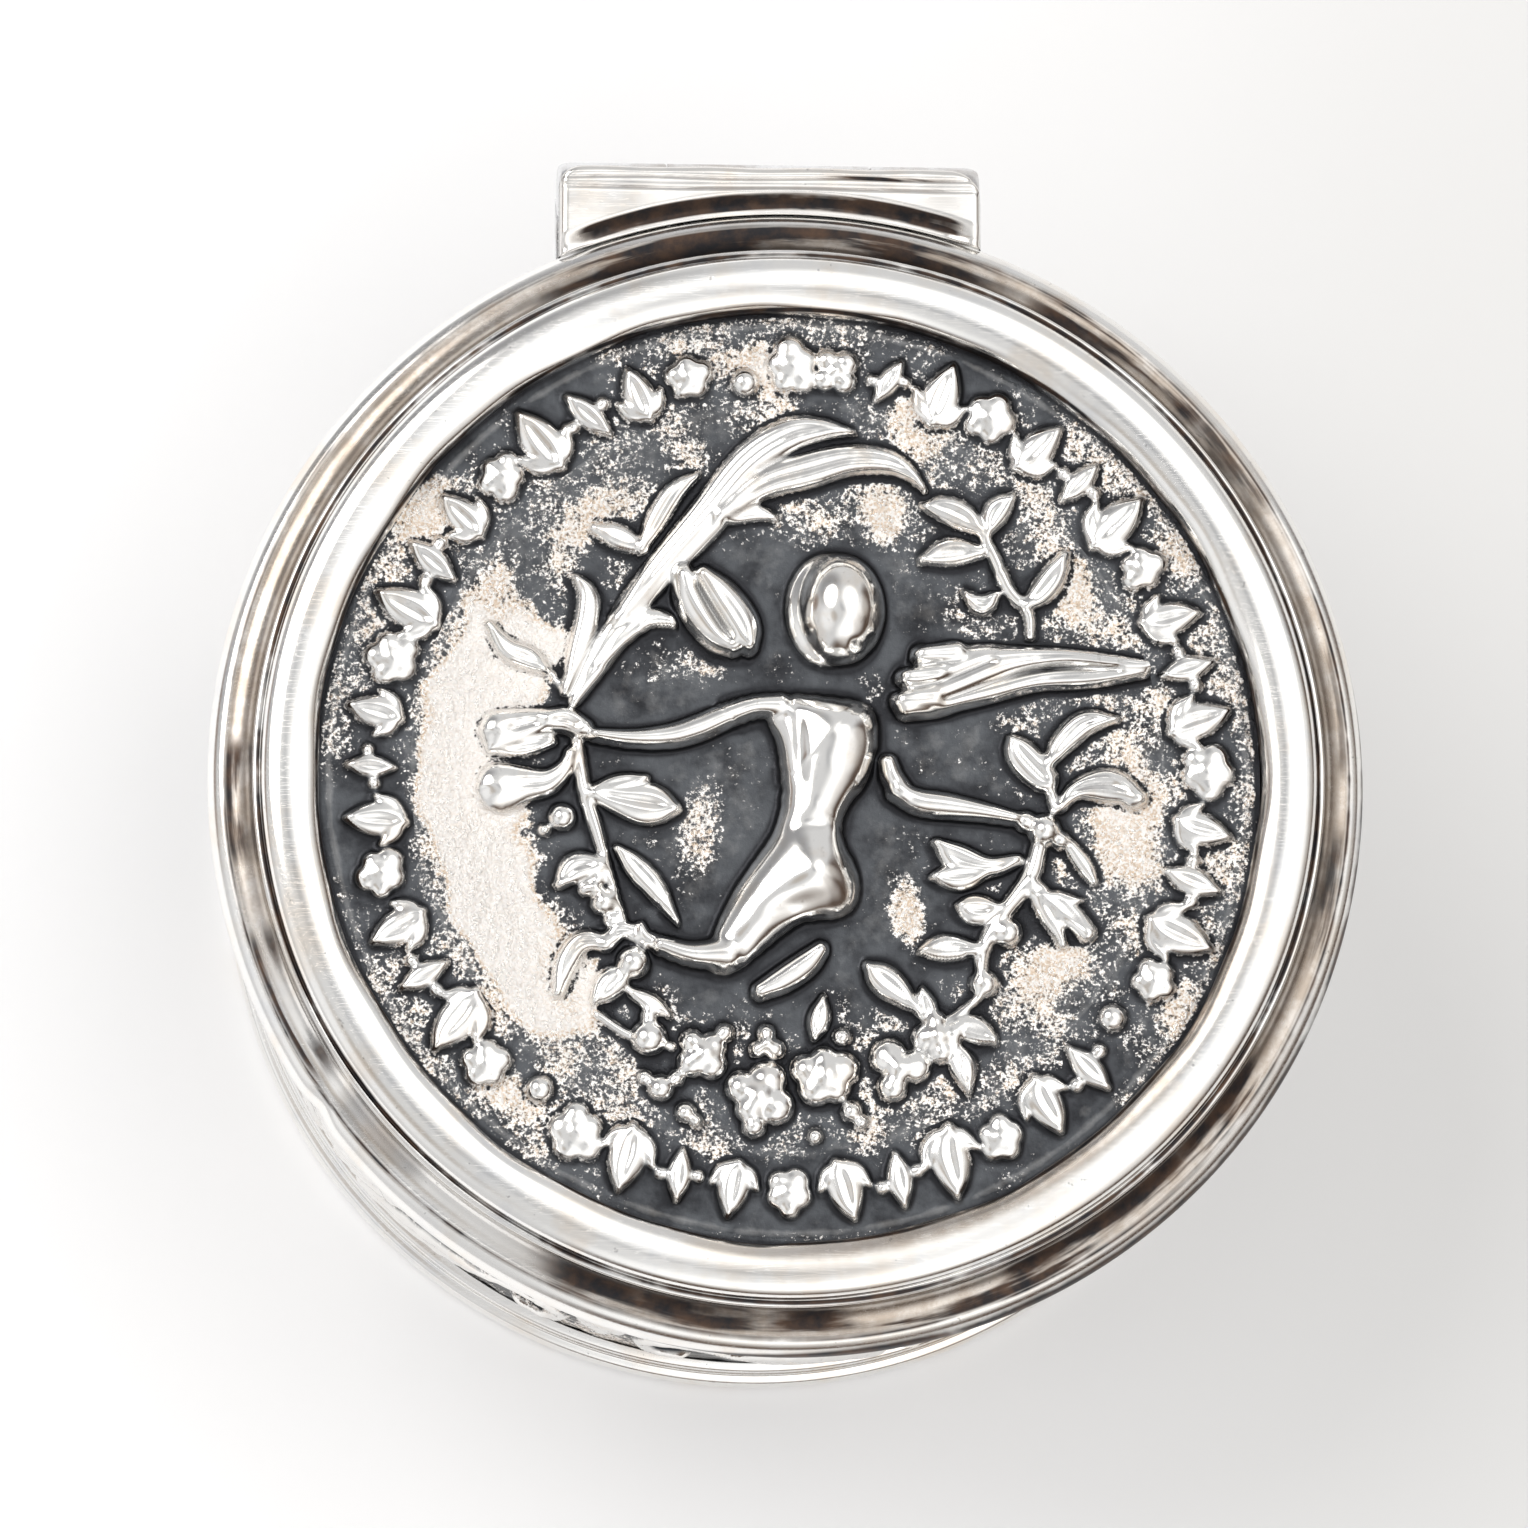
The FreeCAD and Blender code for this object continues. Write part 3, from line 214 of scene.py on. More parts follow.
class Chasing:
    """Raised and cut work over a set of places x, y. Heights are above the ground."""

    def __init__(self, x, y):
        self.x = x
        self.y = y
        self.height = np.zeros_like(x)
        self.bright = np.zeros_like(x)

    def near(self, line, reach=1.0):
        """Which places are close to a line, and there: distance in half widths, place along, side."""
        widest = line[:, 2].max() * reach
        low = line[:, :2].min(axis=0) - widest
        high = line[:, :2].max(axis=0) + widest
        at = np.nonzero((self.x > low[0]) & (self.x < high[0]) & (self.y > low[1]) & (self.y < high[1]))[0]
        x = self.x[at]
        y = self.y[at]
        share = np.full(x.shape, 9.0)
        along = np.zeros_like(x)
        side = np.zeros_like(x)
        parts = len(line) - 1
        for i in range(parts):
            ax, ay, aw = line[i]
            bx, by, bw = line[i + 1]
            dx = bx - ax
            dy = by - ay
            t = np.clip(((x - ax) * dx + (y - ay) * dy) / (dx * dx + dy * dy + 1e-9), 0, 1)
            width = aw + (bw - aw) * t
            away = np.hypot(x - ax - dx * t, y - ay - dy * t) / width
            closer = away < share
            share = np.where(closer, away, share)
            along = np.where(closer, (i + t) / parts, along)
            side = np.where(closer, np.sign(dx * (y - ay) - dy * (x - ax)), side)
        return at, share, along, side

    def lay(self, at, height, blend):
        """Lays a form over what is there, with a soft join."""
        old = self.height[at]
        mean = (old + height) / 2
        half = np.sqrt(((old - height) / 2) ** 2 + blend ** 2)
        new = np.where(height > 0, mean + half - blend * 0.5, old)
        self.height[at] = np.maximum(new, old)
        self.bright[at] = np.maximum(self.bright[at], np.clip(height * 4, 0, 1))

    def mass(self, rise, points):
        at, share, _, _ = self.near(curve(points))
        self.lay(at, rise * crown(share, 2.2), 0.12)

    def dome(self, x, y, half_x, half_y, rise):
        share = np.hypot((self.x - x) / half_x, (self.y - y) / half_y)
        at = np.nonzero(share < 1)[0]
        self.lay(at, rise * (1 - share[at] ** 2.1) ** 0.55, 0.12)

    def stem(self, rise, points):
        at, share, _, _ = self.near(curve(points) * (1, 1, 1.35))
        self.lay(at, rise * crown(share), 0.05)

    def leaf(self, rise, points, wide=1.3):
        at, share, along, side = self.near(curve(points) * (1, 1, wide))
        crease = 0.26 * rise * bump(share, 0, 0.2) * step(along, 0.02, 0.2) * (1 - step(along, 0.7, 1.0))
        tilt = 0.1 * rise * share * side
        self.lay(at, rise * crown(share) - np.where(share < 1, crease + tilt * (share < 0.95), 0), 0.05)

    def feather(self, rise, points):
        at, share, _, side = self.near(curve(points))
        ribs = 0.05 * rise * np.clip(np.cos(share * side * 7), 0, 1)
        self.lay(at, rise * crown(share, 2.2) - np.where(share < 1, ribs, 0), 0.08)

    def knob(self, x, y, radius, rise):
        at, share, _, _ = self.near(spot(x, y, radius))
        self.lay(at, rise * crown(share), 0.03)

    def flower(self, x, y, radius, rise, lobes, first):
        """Plump flower: round lobes that run into each other about a raised middle."""
        at, _, _, _ = self.near(spot(x, y, radius * 1.3))
        total = np.zeros(at.shape)
        places = [(x, y, radius * 0.5, rise)]
        for k in range(lobes):
            turn = math.radians(first + 360 * k / lobes)
            away = radius * (0.52 + 0.08 * math.cos(2.4 * k + x))
            size = radius * (0.56 + 0.07 * math.sin(1.9 * k + y))
            places.append((x + away * math.cos(turn), y + away * math.sin(turn), size, rise * 0.84))
        for px, py, size, high in places:
            share = np.hypot(self.x[at] - px, self.y[at] - py) / size
            total += (high * crown(share)) ** 5
        self.lay(at, total ** 0.2, 0.03)

    def cut(self, depth, points):
        at, share, _, _ = self.near(curve(points), 2.6)
        self.height[at] = np.maximum(self.height[at] - depth * np.exp(-share ** 2), 0)


def ripple(x, y, pitch, seed, waves=14):
    """Soft unevenness of about that pitch, between -1 and 1."""
    pick = np.random.default_rng(seed)
    total = np.zeros_like(x)
    for _ in range(waves):
        turn = pick.uniform(0, TURN)
        size = TURN / (pitch * pick.uniform(0.7, 1.5))
        total += np.sin(size * (x * math.cos(turn) + y * math.sin(turn)) + pick.uniform(0, TURN))
    return total / math.sqrt(waves) / 1.4


def step(value, low, high):
    """Smooth step from 0 at low to 1 at high."""
    t = np.clip((value - low) / (high - low), 0, 1)
    return t * t * (3 - 2 * t)


def bump(value, middle, half):
    """Soft bump, 1 at its middle."""
    return np.exp(-((value - middle) / half) ** 2)


def oval(x, y, place_x, place_y, half_x, half_y, degrees):
    """Squared distance from the middle of a turned oval, 1 at its edge."""
    c = math.cos(math.radians(degrees))
    s = math.sin(math.radians(degrees))
    u = ((x - place_x) * c + (y - place_y) * s) / half_x
    v = (-(x - place_x) * s + (y - place_y) * c) / half_y
    return u * u + v * v


def plate_level(radius):
    """Ground of the chased disc: flat ring, a raised lip and a bowl-shaped dish."""
    bowl = DISH_LEVEL + (RING_LEVEL - DISH_LEVEL) * step(radius, 9.4, 13.0) ** 1.2
    return bowl + 0.035 * bump(radius, 13.1, 0.28) + 0.03 * bump(radius, 15.85, 0.14)


def softened(field, passes):
    """A field on a square of places with its detail smoothed out."""
    for _ in range(passes):
        padded = np.pad(field, 1, mode="edge")
        field = (padded[:-2, 1:-1] + padded[2:, 1:-1] + padded[1:-1, :-2] + padded[1:-1, 2:]
                 + 2 * padded[1:-1, 1:-1]) / 6
    return field


def inside(outline, x, y):
    """Which places lie inside a closed line."""
    hits = np.zeros(x.shape, bool)
    for i, (ax, ay) in enumerate(outline):
        bx, by = outline[i - 1]
        crosses = (ay > y) != (by > y)
        hits ^= crosses & (x < (bx - ax) * (y - ay) / (by - ay + 1e-12) + ax)
    return hits


def swell(outline, fullness, pitch=0.06):
    """Height over a closed line, like a skin blown up from behind. Gives a function of x and y."""
    smooth = curve([(x, y, 1.0) for x, y in outline + outline[:2]])[:, :2].tolist()
    low = np.min(smooth, axis=0) - 3 * pitch
    high = np.max(smooth, axis=0) + 3 * pitch
    xs = np.arange(low[0], high[0], pitch)
    ys = np.arange(low[1], high[1], pitch)
    grid_x, grid_y = np.meshgrid(xs, ys)
    solid = inside(smooth, grid_x, grid_y).astype(float)
    skin_height = np.zeros_like(grid_x)
    for _ in range(1500):
        near = skin_height[:-2, 1:-1] + skin_height[2:, 1:-1] + skin_height[1:-1, :-2] + skin_height[1:-1, 2:]
        skin_height[1:-1, 1:-1] = (near + pitch * pitch) / 4 * solid[1:-1, 1:-1]
    height = softened(fullness * np.sqrt(2 * skin_height), 2)

    def at(x, y):
        column = np.clip((x - low[0]) / pitch, 0, len(xs) - 1.001)
        row = np.clip((y - low[1]) / pitch, 0, len(ys) - 1.001)
        i = row.astype(int)
        j = column.astype(int)
        s = row - i
        t = column - j
        found = ((1 - s) * ((1 - t) * height[i, j] + t * height[i, j + 1])
                 + s * ((1 - t) * height[i + 1, j] + t * height[i + 1, j + 1]))
        return np.where((x > low[0]) & (x < xs[-1]) & (y > low[1]) & (y < ys[-1]), found, 0)

    return at


torso_swell = swell(TORSO, 0.92)


def torso_height(x, y):
    """Back, seat and thigh: one swelling form with soft rises and dips."""
    height = torso_swell(x, y)
    share = step(height, 0.1, 0.9)
    for *place, rise in SWELLS:
        height = height + share * rise * np.exp(-oval(x, y, *place))
    return height


def chase_figure(work):
    """The winged child with palm and sprays, seen from behind, over a garland."""
    for lay, forms in ((work.stem, STEMS), (work.leaf, LEAVES), (work.leaf, HAND_FORMS),
                       (work.feather, WING_FORMS), (work.knob, KNOBS), (work.cut, WING_CUTS),
                       (work.flower, FLOWERS), (work.mass, LIMB_FORMS)):
        for form in forms:
            lay(*form)
    torso = torso_height(work.x, work.y)
    at = np.nonzero(torso > 0.01)[0]
    work.lay(at, torso[at], 0.1)
    for form in HEAD_FORMS:
        work.dome(*form)
    for form in HEAD_CUTS:
        work.cut(*form)


def polar(radius, degrees):
    return radius * math.cos(math.radians(degrees)), radius * math.sin(math.radians(degrees))


# The ring round the dish: a four-lobed flower, three pellets and a run of small leaf marks.
FOUR_LOBES_AT = 83.5
PELLETS_AT = [96.3, 232.0, 323.4]
MARKS_MIDDLE = 14.45
MARKS_APART = 7.5


def ring_stops():
    """Angle of each small mark, and its number from the last flower or pellet on."""
    stops = sorted([FOUR_LOBES_AT] + PELLETS_AT)
    out = []
    for a, b in zip(stops, stops[1:] + [stops[0] + 360]):
        count = round((b - a) / MARKS_APART) - 1
        out += [(a + (b - a) * (i + 1) / (count + 1), i) for i in range(count)]
    return out


def chase_ring(work):
    """Marks in turn: a leaf in three parts, a small rosette and an almond between two knobs."""
    pick = np.random.default_rng(5)
    for turn, number in ring_stops():
        lean = pick.uniform(-0.32, 0.32)
        size = pick.uniform(0.9, 1.14)
        shift = pick.uniform(-0.12, 0.12)

        def at(out, sideways, half_width, turn=turn, size=size, shift=shift):
            radius = MARKS_MIDDLE + out * size + shift
            x, y = polar(radius, turn - math.degrees(sideways * size / radius))
            return x, y, half_width * size

        if number % 2:
            work.leaf(0.44, [at(-1.0, -lean, 0.18), at(-0.3, 0, 0.52), at(0.35, lean * 0.4, 0.4),
                             at(1.0, lean, 0.09)])
            for side in (-1, 1):
                work.leaf(0.36, [at(-0.95, side * 0.1, 0.16), at(-0.62, side * 0.52, 0.24),
                                 at(-0.12, side * 0.86, 0.1)])
        elif number % 4 == 0:
            x, y, _ = at(-0.05, lean * 0.4, 0)
            work.flower(x, y, 0.86 * size, 0.46, 5, turn + 40 * lean)
        else:
            work.leaf(0.42, [at(-0.85, lean, 0.1), at(0, 0, 0.4), at(0.85, -lean, 0.1)], 1.2)
            for side in (-1, 1):
                x, y, _ = at(side * 0.12, side * 0.62, 0)
                work.knob(x, y, 0.26 * size, 0.34)
    x, y = polar(MARKS_MIDDLE - 0.1, FOUR_LOBES_AT)
    for k in range(4):
        turn = math.radians(FOUR_LOBES_AT + 45 + 90 * k)
        work.knob(x + 0.46 * math.cos(turn), y + 0.46 * math.sin(turn), 0.45, 0.4)
    work.knob(x, y, 0.3, 0.5)
    for turn in PELLETS_AT:
        x, y = polar(13.9, turn)
        work.knob(x, y, 0.5, 0.46)


# Where the dark ground is worn to bright, warm grain: place, half sizes, turn in degrees, strength.
WORN_PATCHES = [
    (-6.8, 8.8, 2.6, 1.5, 35, 0.62), (-0.2, 14.3, 4.2, 1.3, 0, 0.66), (4.6, 12.4, 1.8, 1.6, -30, 0.62),
    (3.3, 9.3, 1.3, 1.7, 0, 0.6), (9.9, 6.6, 1.3, 2.2, 20, 0.66), (8.0, 10.6, 2.4, 1.4, -40, 0.5),
    (11.8, -1.4, 1.7, 3.4, 0, 0.72), (9.2, -6.6, 1.7, 1.4, 30, 0.68), (-3.3, 3.9, 1.9, 0.8, 15, 0.48),
    (-3.0, -1.6, 1.0, 2.1, -8, 0.56), (4.1, -4.6, 0.8, 1.4, 0, 0.58), (-12.2, 9.3, 2.2, 2.2, 45, 0.68),
    (-14.2, 4.6, 1.3, 2.2, 10, 0.6), (-9.9, -10.8, 2.4, 1.2, -40, 0.62), (14.2, 0.6, 1.4, 4.2, 0, 0.56),
    (13.2, -7.6, 1.6, 2.0, -30, 0.55), (5.8, -7.9, 1.2, 0.8, 0, 0.4), (13.2, 7.6, 1.8, 2.4, -30, 0.5),
    (-9.6, 0.2, 1.5, 1.5, 0, 0.6), (7.6, 1.9, 1.0, 0.8, 0, 0.4), (-5.4, -12.6, 2.6, 0.9, 15, 0.3),
]
# Where it stays dark all the same.
DARK_PATCHES = [
    (-14.6, -2.0, 1.2, 2.6, 0, 0.5), (0.5, -14.6, 7.0, 1.2, 0, 0.5), (-11.6, 12.0, 1.4, 1.2, 40, 0.4),
    (-8.3, 13.2, 1.8, 1.0, 35, 0.4), (9.6, -11.6, 2.6, 1.2, 45, 0.4), (6.4, 14.2, 1.6, 0.9, -20, 0.3),
]


def patches(x, y, places):
    total = np.zeros_like(x)
    for *place, strength in places:
        total = np.maximum(total, strength * np.exp(-oval(x, y, *place) ** 1.3 * 0.9))
    return total


def worn(x, y):
    """Share of bright grain on the ground: patches, little by the figure, and a painted highlight in a curved
    band on the left slope of the dish.
    """
    radius = np.hypot(x, y)
    uneven = ripple(x, y, 2.2, 31) * 0.09 + ripple(x, y, 5.0, 32) * 0.06
    turn = np.degrees(np.arctan2(y, x)) % 360
    # Painted highlight: bright grain in a curved band on the left slope of the dish, where that slope mirrors
    # the light.
    painted_crescent_highlight = step(radius + uneven * 5, 8.2, 9.8) * (1 - step(radius + uneven * 4, 12.3, 13.2))
    painted_crescent_highlight = painted_crescent_highlight * step(turn + uneven * 40, 136, 152) * (1 - step(turn + uneven * 40, 226, 242))
    base = 0.22 + 0.22 * step(radius, 7.2, 9.6)
    found = np.maximum(np.maximum(base, 1.12 * patches(x, y, WORN_PATCHES)), 0.97 * painted_crescent_highlight)
    dark = patches(x, y, DARK_PATCHES) * (1 - painted_crescent_highlight)
    return np.clip(found + uneven * step(found, 0.1, 0.3) - dark, 0, 1)


def skin(name, around, across, place):
    """Sheet of small squares. place() gets two shares from 0 to 1 and gives x, y, z and its marks."""
    bm = bmesh.new()
    bmesh.ops.create_grid(bm, x_segments=around, y_segments=across, size=1.0)
    mesh = bpy.data.meshes.new(name)
    bm.to_mesh(mesh)
    bm.free()
    flat = np.empty(len(mesh.vertices) * 3)
    mesh.vertices.foreach_get("co", flat)
    u = (flat[0::3] + 1) / 2
    v = (flat[1::3] + 1) / 2
    x, y, z, marks = place(u, v)
    mesh.vertices.foreach_set("co", np.column_stack((x, y, z)).ravel() * MM)
    for mark, values in marks.items():
        mesh.attributes.new(mark, "FLOAT", "POINT").data.foreach_set("value", values)
    return mesh


def joined(name, meshes, material, body, node):
    """One piece from sheets, with seams closed and faces turned outwards. It stands in for a node."""
    bm = bmesh.new()
    for mesh in meshes:
        bm.from_mesh(mesh)
        bpy.data.meshes.remove(mesh)
    bmesh.ops.remove_doubles(bm, verts=bm.verts, dist=0.002 * MM)
    bmesh.ops.recalc_face_normals(bm, faces=bm.faces)
    made = bpy.data.meshes.new(name)
    bm.to_mesh(made)
    bm.free()
    made.polygons.foreach_set("use_smooth", [True] * len(made.polygons))
    made.materials.append(material)
    piece = bpy.data.objects.new(name, made)
    bpy.context.collection.objects.link(piece)
    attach(piece, body)
    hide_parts(node)


def soft_profile(corners, steps=5):
    """Section with rounded corners. Each corner is radius, height and how far its rounding reaches."""
    out = []
    count = len(corners)
    for i, (r, z, reach) in enumerate(corners):
        here = np.array((r, z))
        if reach == 0:
            out.append(here)
            continue
        before = np.array(corners[i - 1][:2])
        after = np.array(corners[(i + 1) % count][:2])
        a = here + (before - here) * min(0.48, reach / max(np.linalg.norm(before - here), 1e-6))
        b = here + (after - here) * min(0.48, reach / max(np.linalg.norm(after - here), 1e-6))
        for t in np.linspace(0, 1, steps):
            out.append((1 - t) ** 2 * a + 2 * t * (1 - t) * here + t * t * b)
    out.append(out[0])
    return np.array(out)


def turned(name, section, segments, uneven=None, marks=None):
    """Section turned about the upright axis of the box."""
    section = np.array(section)

    def place(u, v):
        row = np.rint(v * (len(section) - 1)).astype(int)
        radius = section[row, 0]
        height = section[row, 1]
        turn = u * TURN
        if uneven:
            radius, height = uneven(radius, height, turn)
        x = radius * np.cos(turn)
        y = radius * np.sin(turn)
        return x, y, height, marks(radius, height, turn) if marks else {}

    return skin(name, segments, len(section) - 1, place)


def disc_places(u, v, radius):
    """Turns a square of places into a round disc with an even spread."""
    a = 2 * u - 1
    b = 2 * v - 1
    wide = np.abs(a) > np.abs(b)
    reach = np.where(wide, a, b)
    other = np.where(wide, b, a)
    safe = np.where(np.abs(reach) < 1e-9, 1e-9, reach)
    turn = math.pi / 4 * other / safe
    x = np.where(wide, reach * np.cos(turn), reach * np.sin(turn))
    y = np.where(wide, reach * np.sin(turn), reach * np.cos(turn))
    return x * radius, y * radius


def sunk(field):
    """How much lower each place of a field lies than what is round it."""
    near = softened(field, 6)
    wide = softened(near, 40)
    return (near - field) * 5 + (wide - field) * 1.6


class Square:
    """The order in which the places of a sheet lie on their square."""

    def __init__(self, u, v, around, across):
        self.shape = (across + 1, around + 1)
        self.order = np.rint(v * across).astype(int) * (around + 1) + np.rint(u * around).astype(int)

    def worked(self, values, change, *settings):
        """Puts values on the square, changes them there and gives them back in their own order."""
        field = np.empty(self.shape[0] * self.shape[1])
        field[self.order] = values
        return change(field.reshape(self.shape), *settings).ravel()[self.order]


def chased_height(x, y, part, square):
    """Height of the chased disc over a square of places: softened work on a slightly uneven ground."""
    work = Chasing(x, y)
    part(work)
    work.height = square.worked(work.height, softened, 2)
    rough = 0.012 * ripple(x, y, 1.3, 3) + 0.014 * ripple(x, y, 0.4, 4) * worn(x, y)
    ground = plate_level(np.hypot(x, y)) + rough * (1 - 0.7 * work.bright)
    return ground + work.height, work


def make_dish():
    squares = 310

    def place(u, v):
        x, y = disc_places(u, v, DISH_EDGE)
        square = Square(u, v, squares, squares)
        z, work = chased_height(x, y, chase_figure, square)
        low = square.worked(z, sunk)
        return x, y, z, {"raised": np.clip(work.height, 0, 2), "hollow": low, "worn": worn(x, y)}

    return skin("dish", squares, squares, place)


def make_ring():
    around = 1180
    across = 40

    def place(u, v):
        radius = DISH_EDGE - 0.03 + (PLATE_EDGE - DISH_EDGE + 0.03) * v
        x = radius * np.cos(u * TURN)
        y = radius * np.sin(u * TURN)
        square = Square(u, v, around, across)
        z, work = chased_height(x, y, chase_ring, square)
        low = square.worked(z, sunk) + step(radius, 16.0, 16.3) * 0.5
        return x, y, z, {"raised": np.clip(work.height, 0, 2), "hollow": low, "worn": worn(x, y)}

    return skin("ring", around, across, place)


def make_plate_back():
    """Underside of the chased disc, which shows the figure as soft hollows."""
    squares = 150

    def place(u, v):
        x, y = disc_places(u, v, PLATE_EDGE)
        square = Square(u, v, squares, squares)
        _, work = chased_height(x, y, chase_figure, square)
        soft = square.worked(work.height, softened, 5)
        back = plate_level(np.hypot(x, y)) - PLATE_SHEET + 0.55 * np.minimum(soft, 0.8)
        edge = np.hypot(x, y) > PLATE_EDGE - 0.02
        z = np.where(edge, RING_LEVEL - PLATE_SHEET, back)
        return x, y, z, {"raised": soft * 0, "hollow": np.clip(soft, 0, 1) * 0.2, "worn": soft * 0}

    return skin("plate_back", squares, squares, place)


def make_plate_edge():
    section = [(PLATE_EDGE, RING_LEVEL + 0.02), (PLATE_EDGE, RING_LEVEL - PLATE_SHEET)]
    return turned("plate_edge", section, EDGE_FACES)


def arc(middle, half_width, half_height, first, last, count):
    """Places on an upright oval, between two angles in degrees."""
    turns = np.radians(np.linspace(first, last, count))
    return [(middle[0] + half_width * math.cos(t), middle[1] + half_height * math.sin(t)) for t in turns]


def frame_section():
    """Section of the lid's moulding: seat, bead, hollow, fillet, broad rounded frame and its opening."""
    seat = [(18.2, 18.6), (19.3, 18.6)]
    bead = arc((19.3, 19.35), 0.7, 0.75, -80, 78, 17)
    hollow = arc((19.4, 20.85), 0.88, 0.78, 266, 182, 13)
    fillet = [(18.5, 20.86), (18.44, 20.89), (18.36, 20.9), (18.3, 20.88), (18.27, 20.83)]
    broad = []
    for t in np.radians(np.linspace(6, 166, 25)):
        c = math.cos(t)
        broad.append((17.28 + 0.96 * math.copysign(abs(c) ** 0.9, c), 20.83 + 0.64 * math.sin(t) ** 0.75))
    opening = [(16.31, 21.0), (16.29, 20.93), (16.29, 20.4), (16.29, 20.2), (18.2, 20.2), (18.2, 18.6)]
    return seat + bead + hollow + fillet + broad + opening


def frame_uneven(radius, height, turn):
    """Age and handling: out of round, a wavy inner edge, soft bumps and one dent."""
    top = step(height, 19.0, 20.4)
    out = 0.035 * np.sin(2 * turn + 0.7) + 0.022 * np.sin(3 * turn + 2.1) + 0.012 * np.sin(7 * turn + 0.3)
    inner = 1 - step(radius, 16.3, 17.0)
    wavy = inner * top * (0.045 * np.sin(11 * turn + 1.0) + 0.03 * np.sin(23 * turn + 2.0))
    level = 0.02 * np.sin(5 * turn + 1.3) + 0.014 * np.sin(12 * turn + 0.2)
    x = radius * np.cos(turn)
    y = radius * np.sin(turn)
    dent = 0.16 * np.exp(-oval(x, y, -16.2, -11.6, 0.5, 0.7, 0))
    radius = radius + (out - 0.03) * top + wavy - dent
    return radius, height + level * top - dent * 0.4 * top


# Dark patches of tarnish in the hollow moulding: middle and half width as angles, strength.
TARNISH_AT = [
    (92, 26, 1.0), (52, 12, 0.8), (36, 7, 0.6), (183, 7, 0.7), (205, 9, 0.75), (222, 7, 0.4), (256, 14, 0.7),
    (282, 16, 0.9), (304, 14, 0.9), (326, 12, 0.85), (346, 10, 0.6), (8, 8, 0.5), (140, 8, 0.35),
]


def about(degrees, middle, inner, outer):
    """1 round about an angle, falling softly to 0 further on."""
    away = np.abs((degrees - middle + 180) % 360 - 180)
    return 1 - step(away, inner, outer)


def frame_marks(radius, height, turn):
    """Tarnish in the hollow, dark lines along its edges, painted shade under the bead that reaches higher at
    the lower right as a painted dark reflection, dull metal in the hollow, and painted dark reflection on the
    frame's inner slope at the lower right.
    """
    degrees = np.degrees(turn) % 360
    patch = np.zeros_like(radius)
    for middle, half, strength in TARNISH_AT:
        patch = np.maximum(patch, strength * about(degrees, middle, half * 0.6, half * 1.3))
    in_hollow = step(radius, 18.4, 18.6) * (1 - step(radius, 19.3, 19.6)) * (height > 19.9)
    fillet_line = bump(radius, 18.3, 0.09) * (height > 20.7)
    bead_line = bump(radius, 19.46, 0.08) * (height > 19.9) * 0.8
    opening_line = bump(radius, 16.3, 0.07) * (height > 20.3)
    # Painted shade on the outer foot of the bead, reaching higher at the lower right as a painted dark
    # reflection.
    painted_reflection_reach = 0.8 * about(degrees, 318, 38, 78)
    painted_shade_under_bead = (1 - step(height - painted_reflection_reach, 18.7, 19.25)) * step(radius, 19.45, 19.7)
    lines = np.maximum(fillet_line, bead_line) + opening_line + painted_shade_under_bead
    # Painted dark reflection on the inner slope of the broad frame at the lower right, carried by the dull
    # mark.
    slope = (1 - step(radius, 16.7, 17.15)) * (height > 20.8) * about(degrees, 312, 20, 75)
    dull = np.maximum(in_hollow * (1 - 0.9 * about(degrees, 222, 12, 36)), 0.9 * slope)
    return {"tarnish": patch * in_hollow, "quirk": np.clip(lines, 0, 1), "dull": dull}


def wire_uneven(radius, height, turn):
    out = 0.02 * np.sin(2 * turn + 0.4) + 0.012 * np.sin(5 * turn + 1.1)
    return radius + out * step(radius, 18.05, 18.4), height


WALL_LOW = 1.7
WALL_HIGH = 17.3
WALL_RADIUS = 18.0
WALL_REPEATS = 5
LINING_RADIUS = 17.3
LINING_LOW = 0.7
LIP_TOP = 20.0

# Sections of the wires at mouth and foot: radius, height and how far each corner is rounded.
MOUTH_SECTION = [
    (18.0, 17.4, 0.05), (18.6, 17.45, 0.1), (18.75, 17.8, 0.12), (19.15, 17.95, 0.2), (19.2, 18.35, 0.2),
    (19.0, 18.6, 0.1), (18.0, 18.6, 0.02),
]
FOOT_SECTION = [
    (18.0, 0.0, 0.05), (18.7, 0.0, 0.15), (18.8, 0.5, 0.3), (18.75, 1.15, 0.2), (18.4, 1.25, 0.1),
    (18.35, 1.6, 0.15), (18.0, 1.7, 0.03),
]


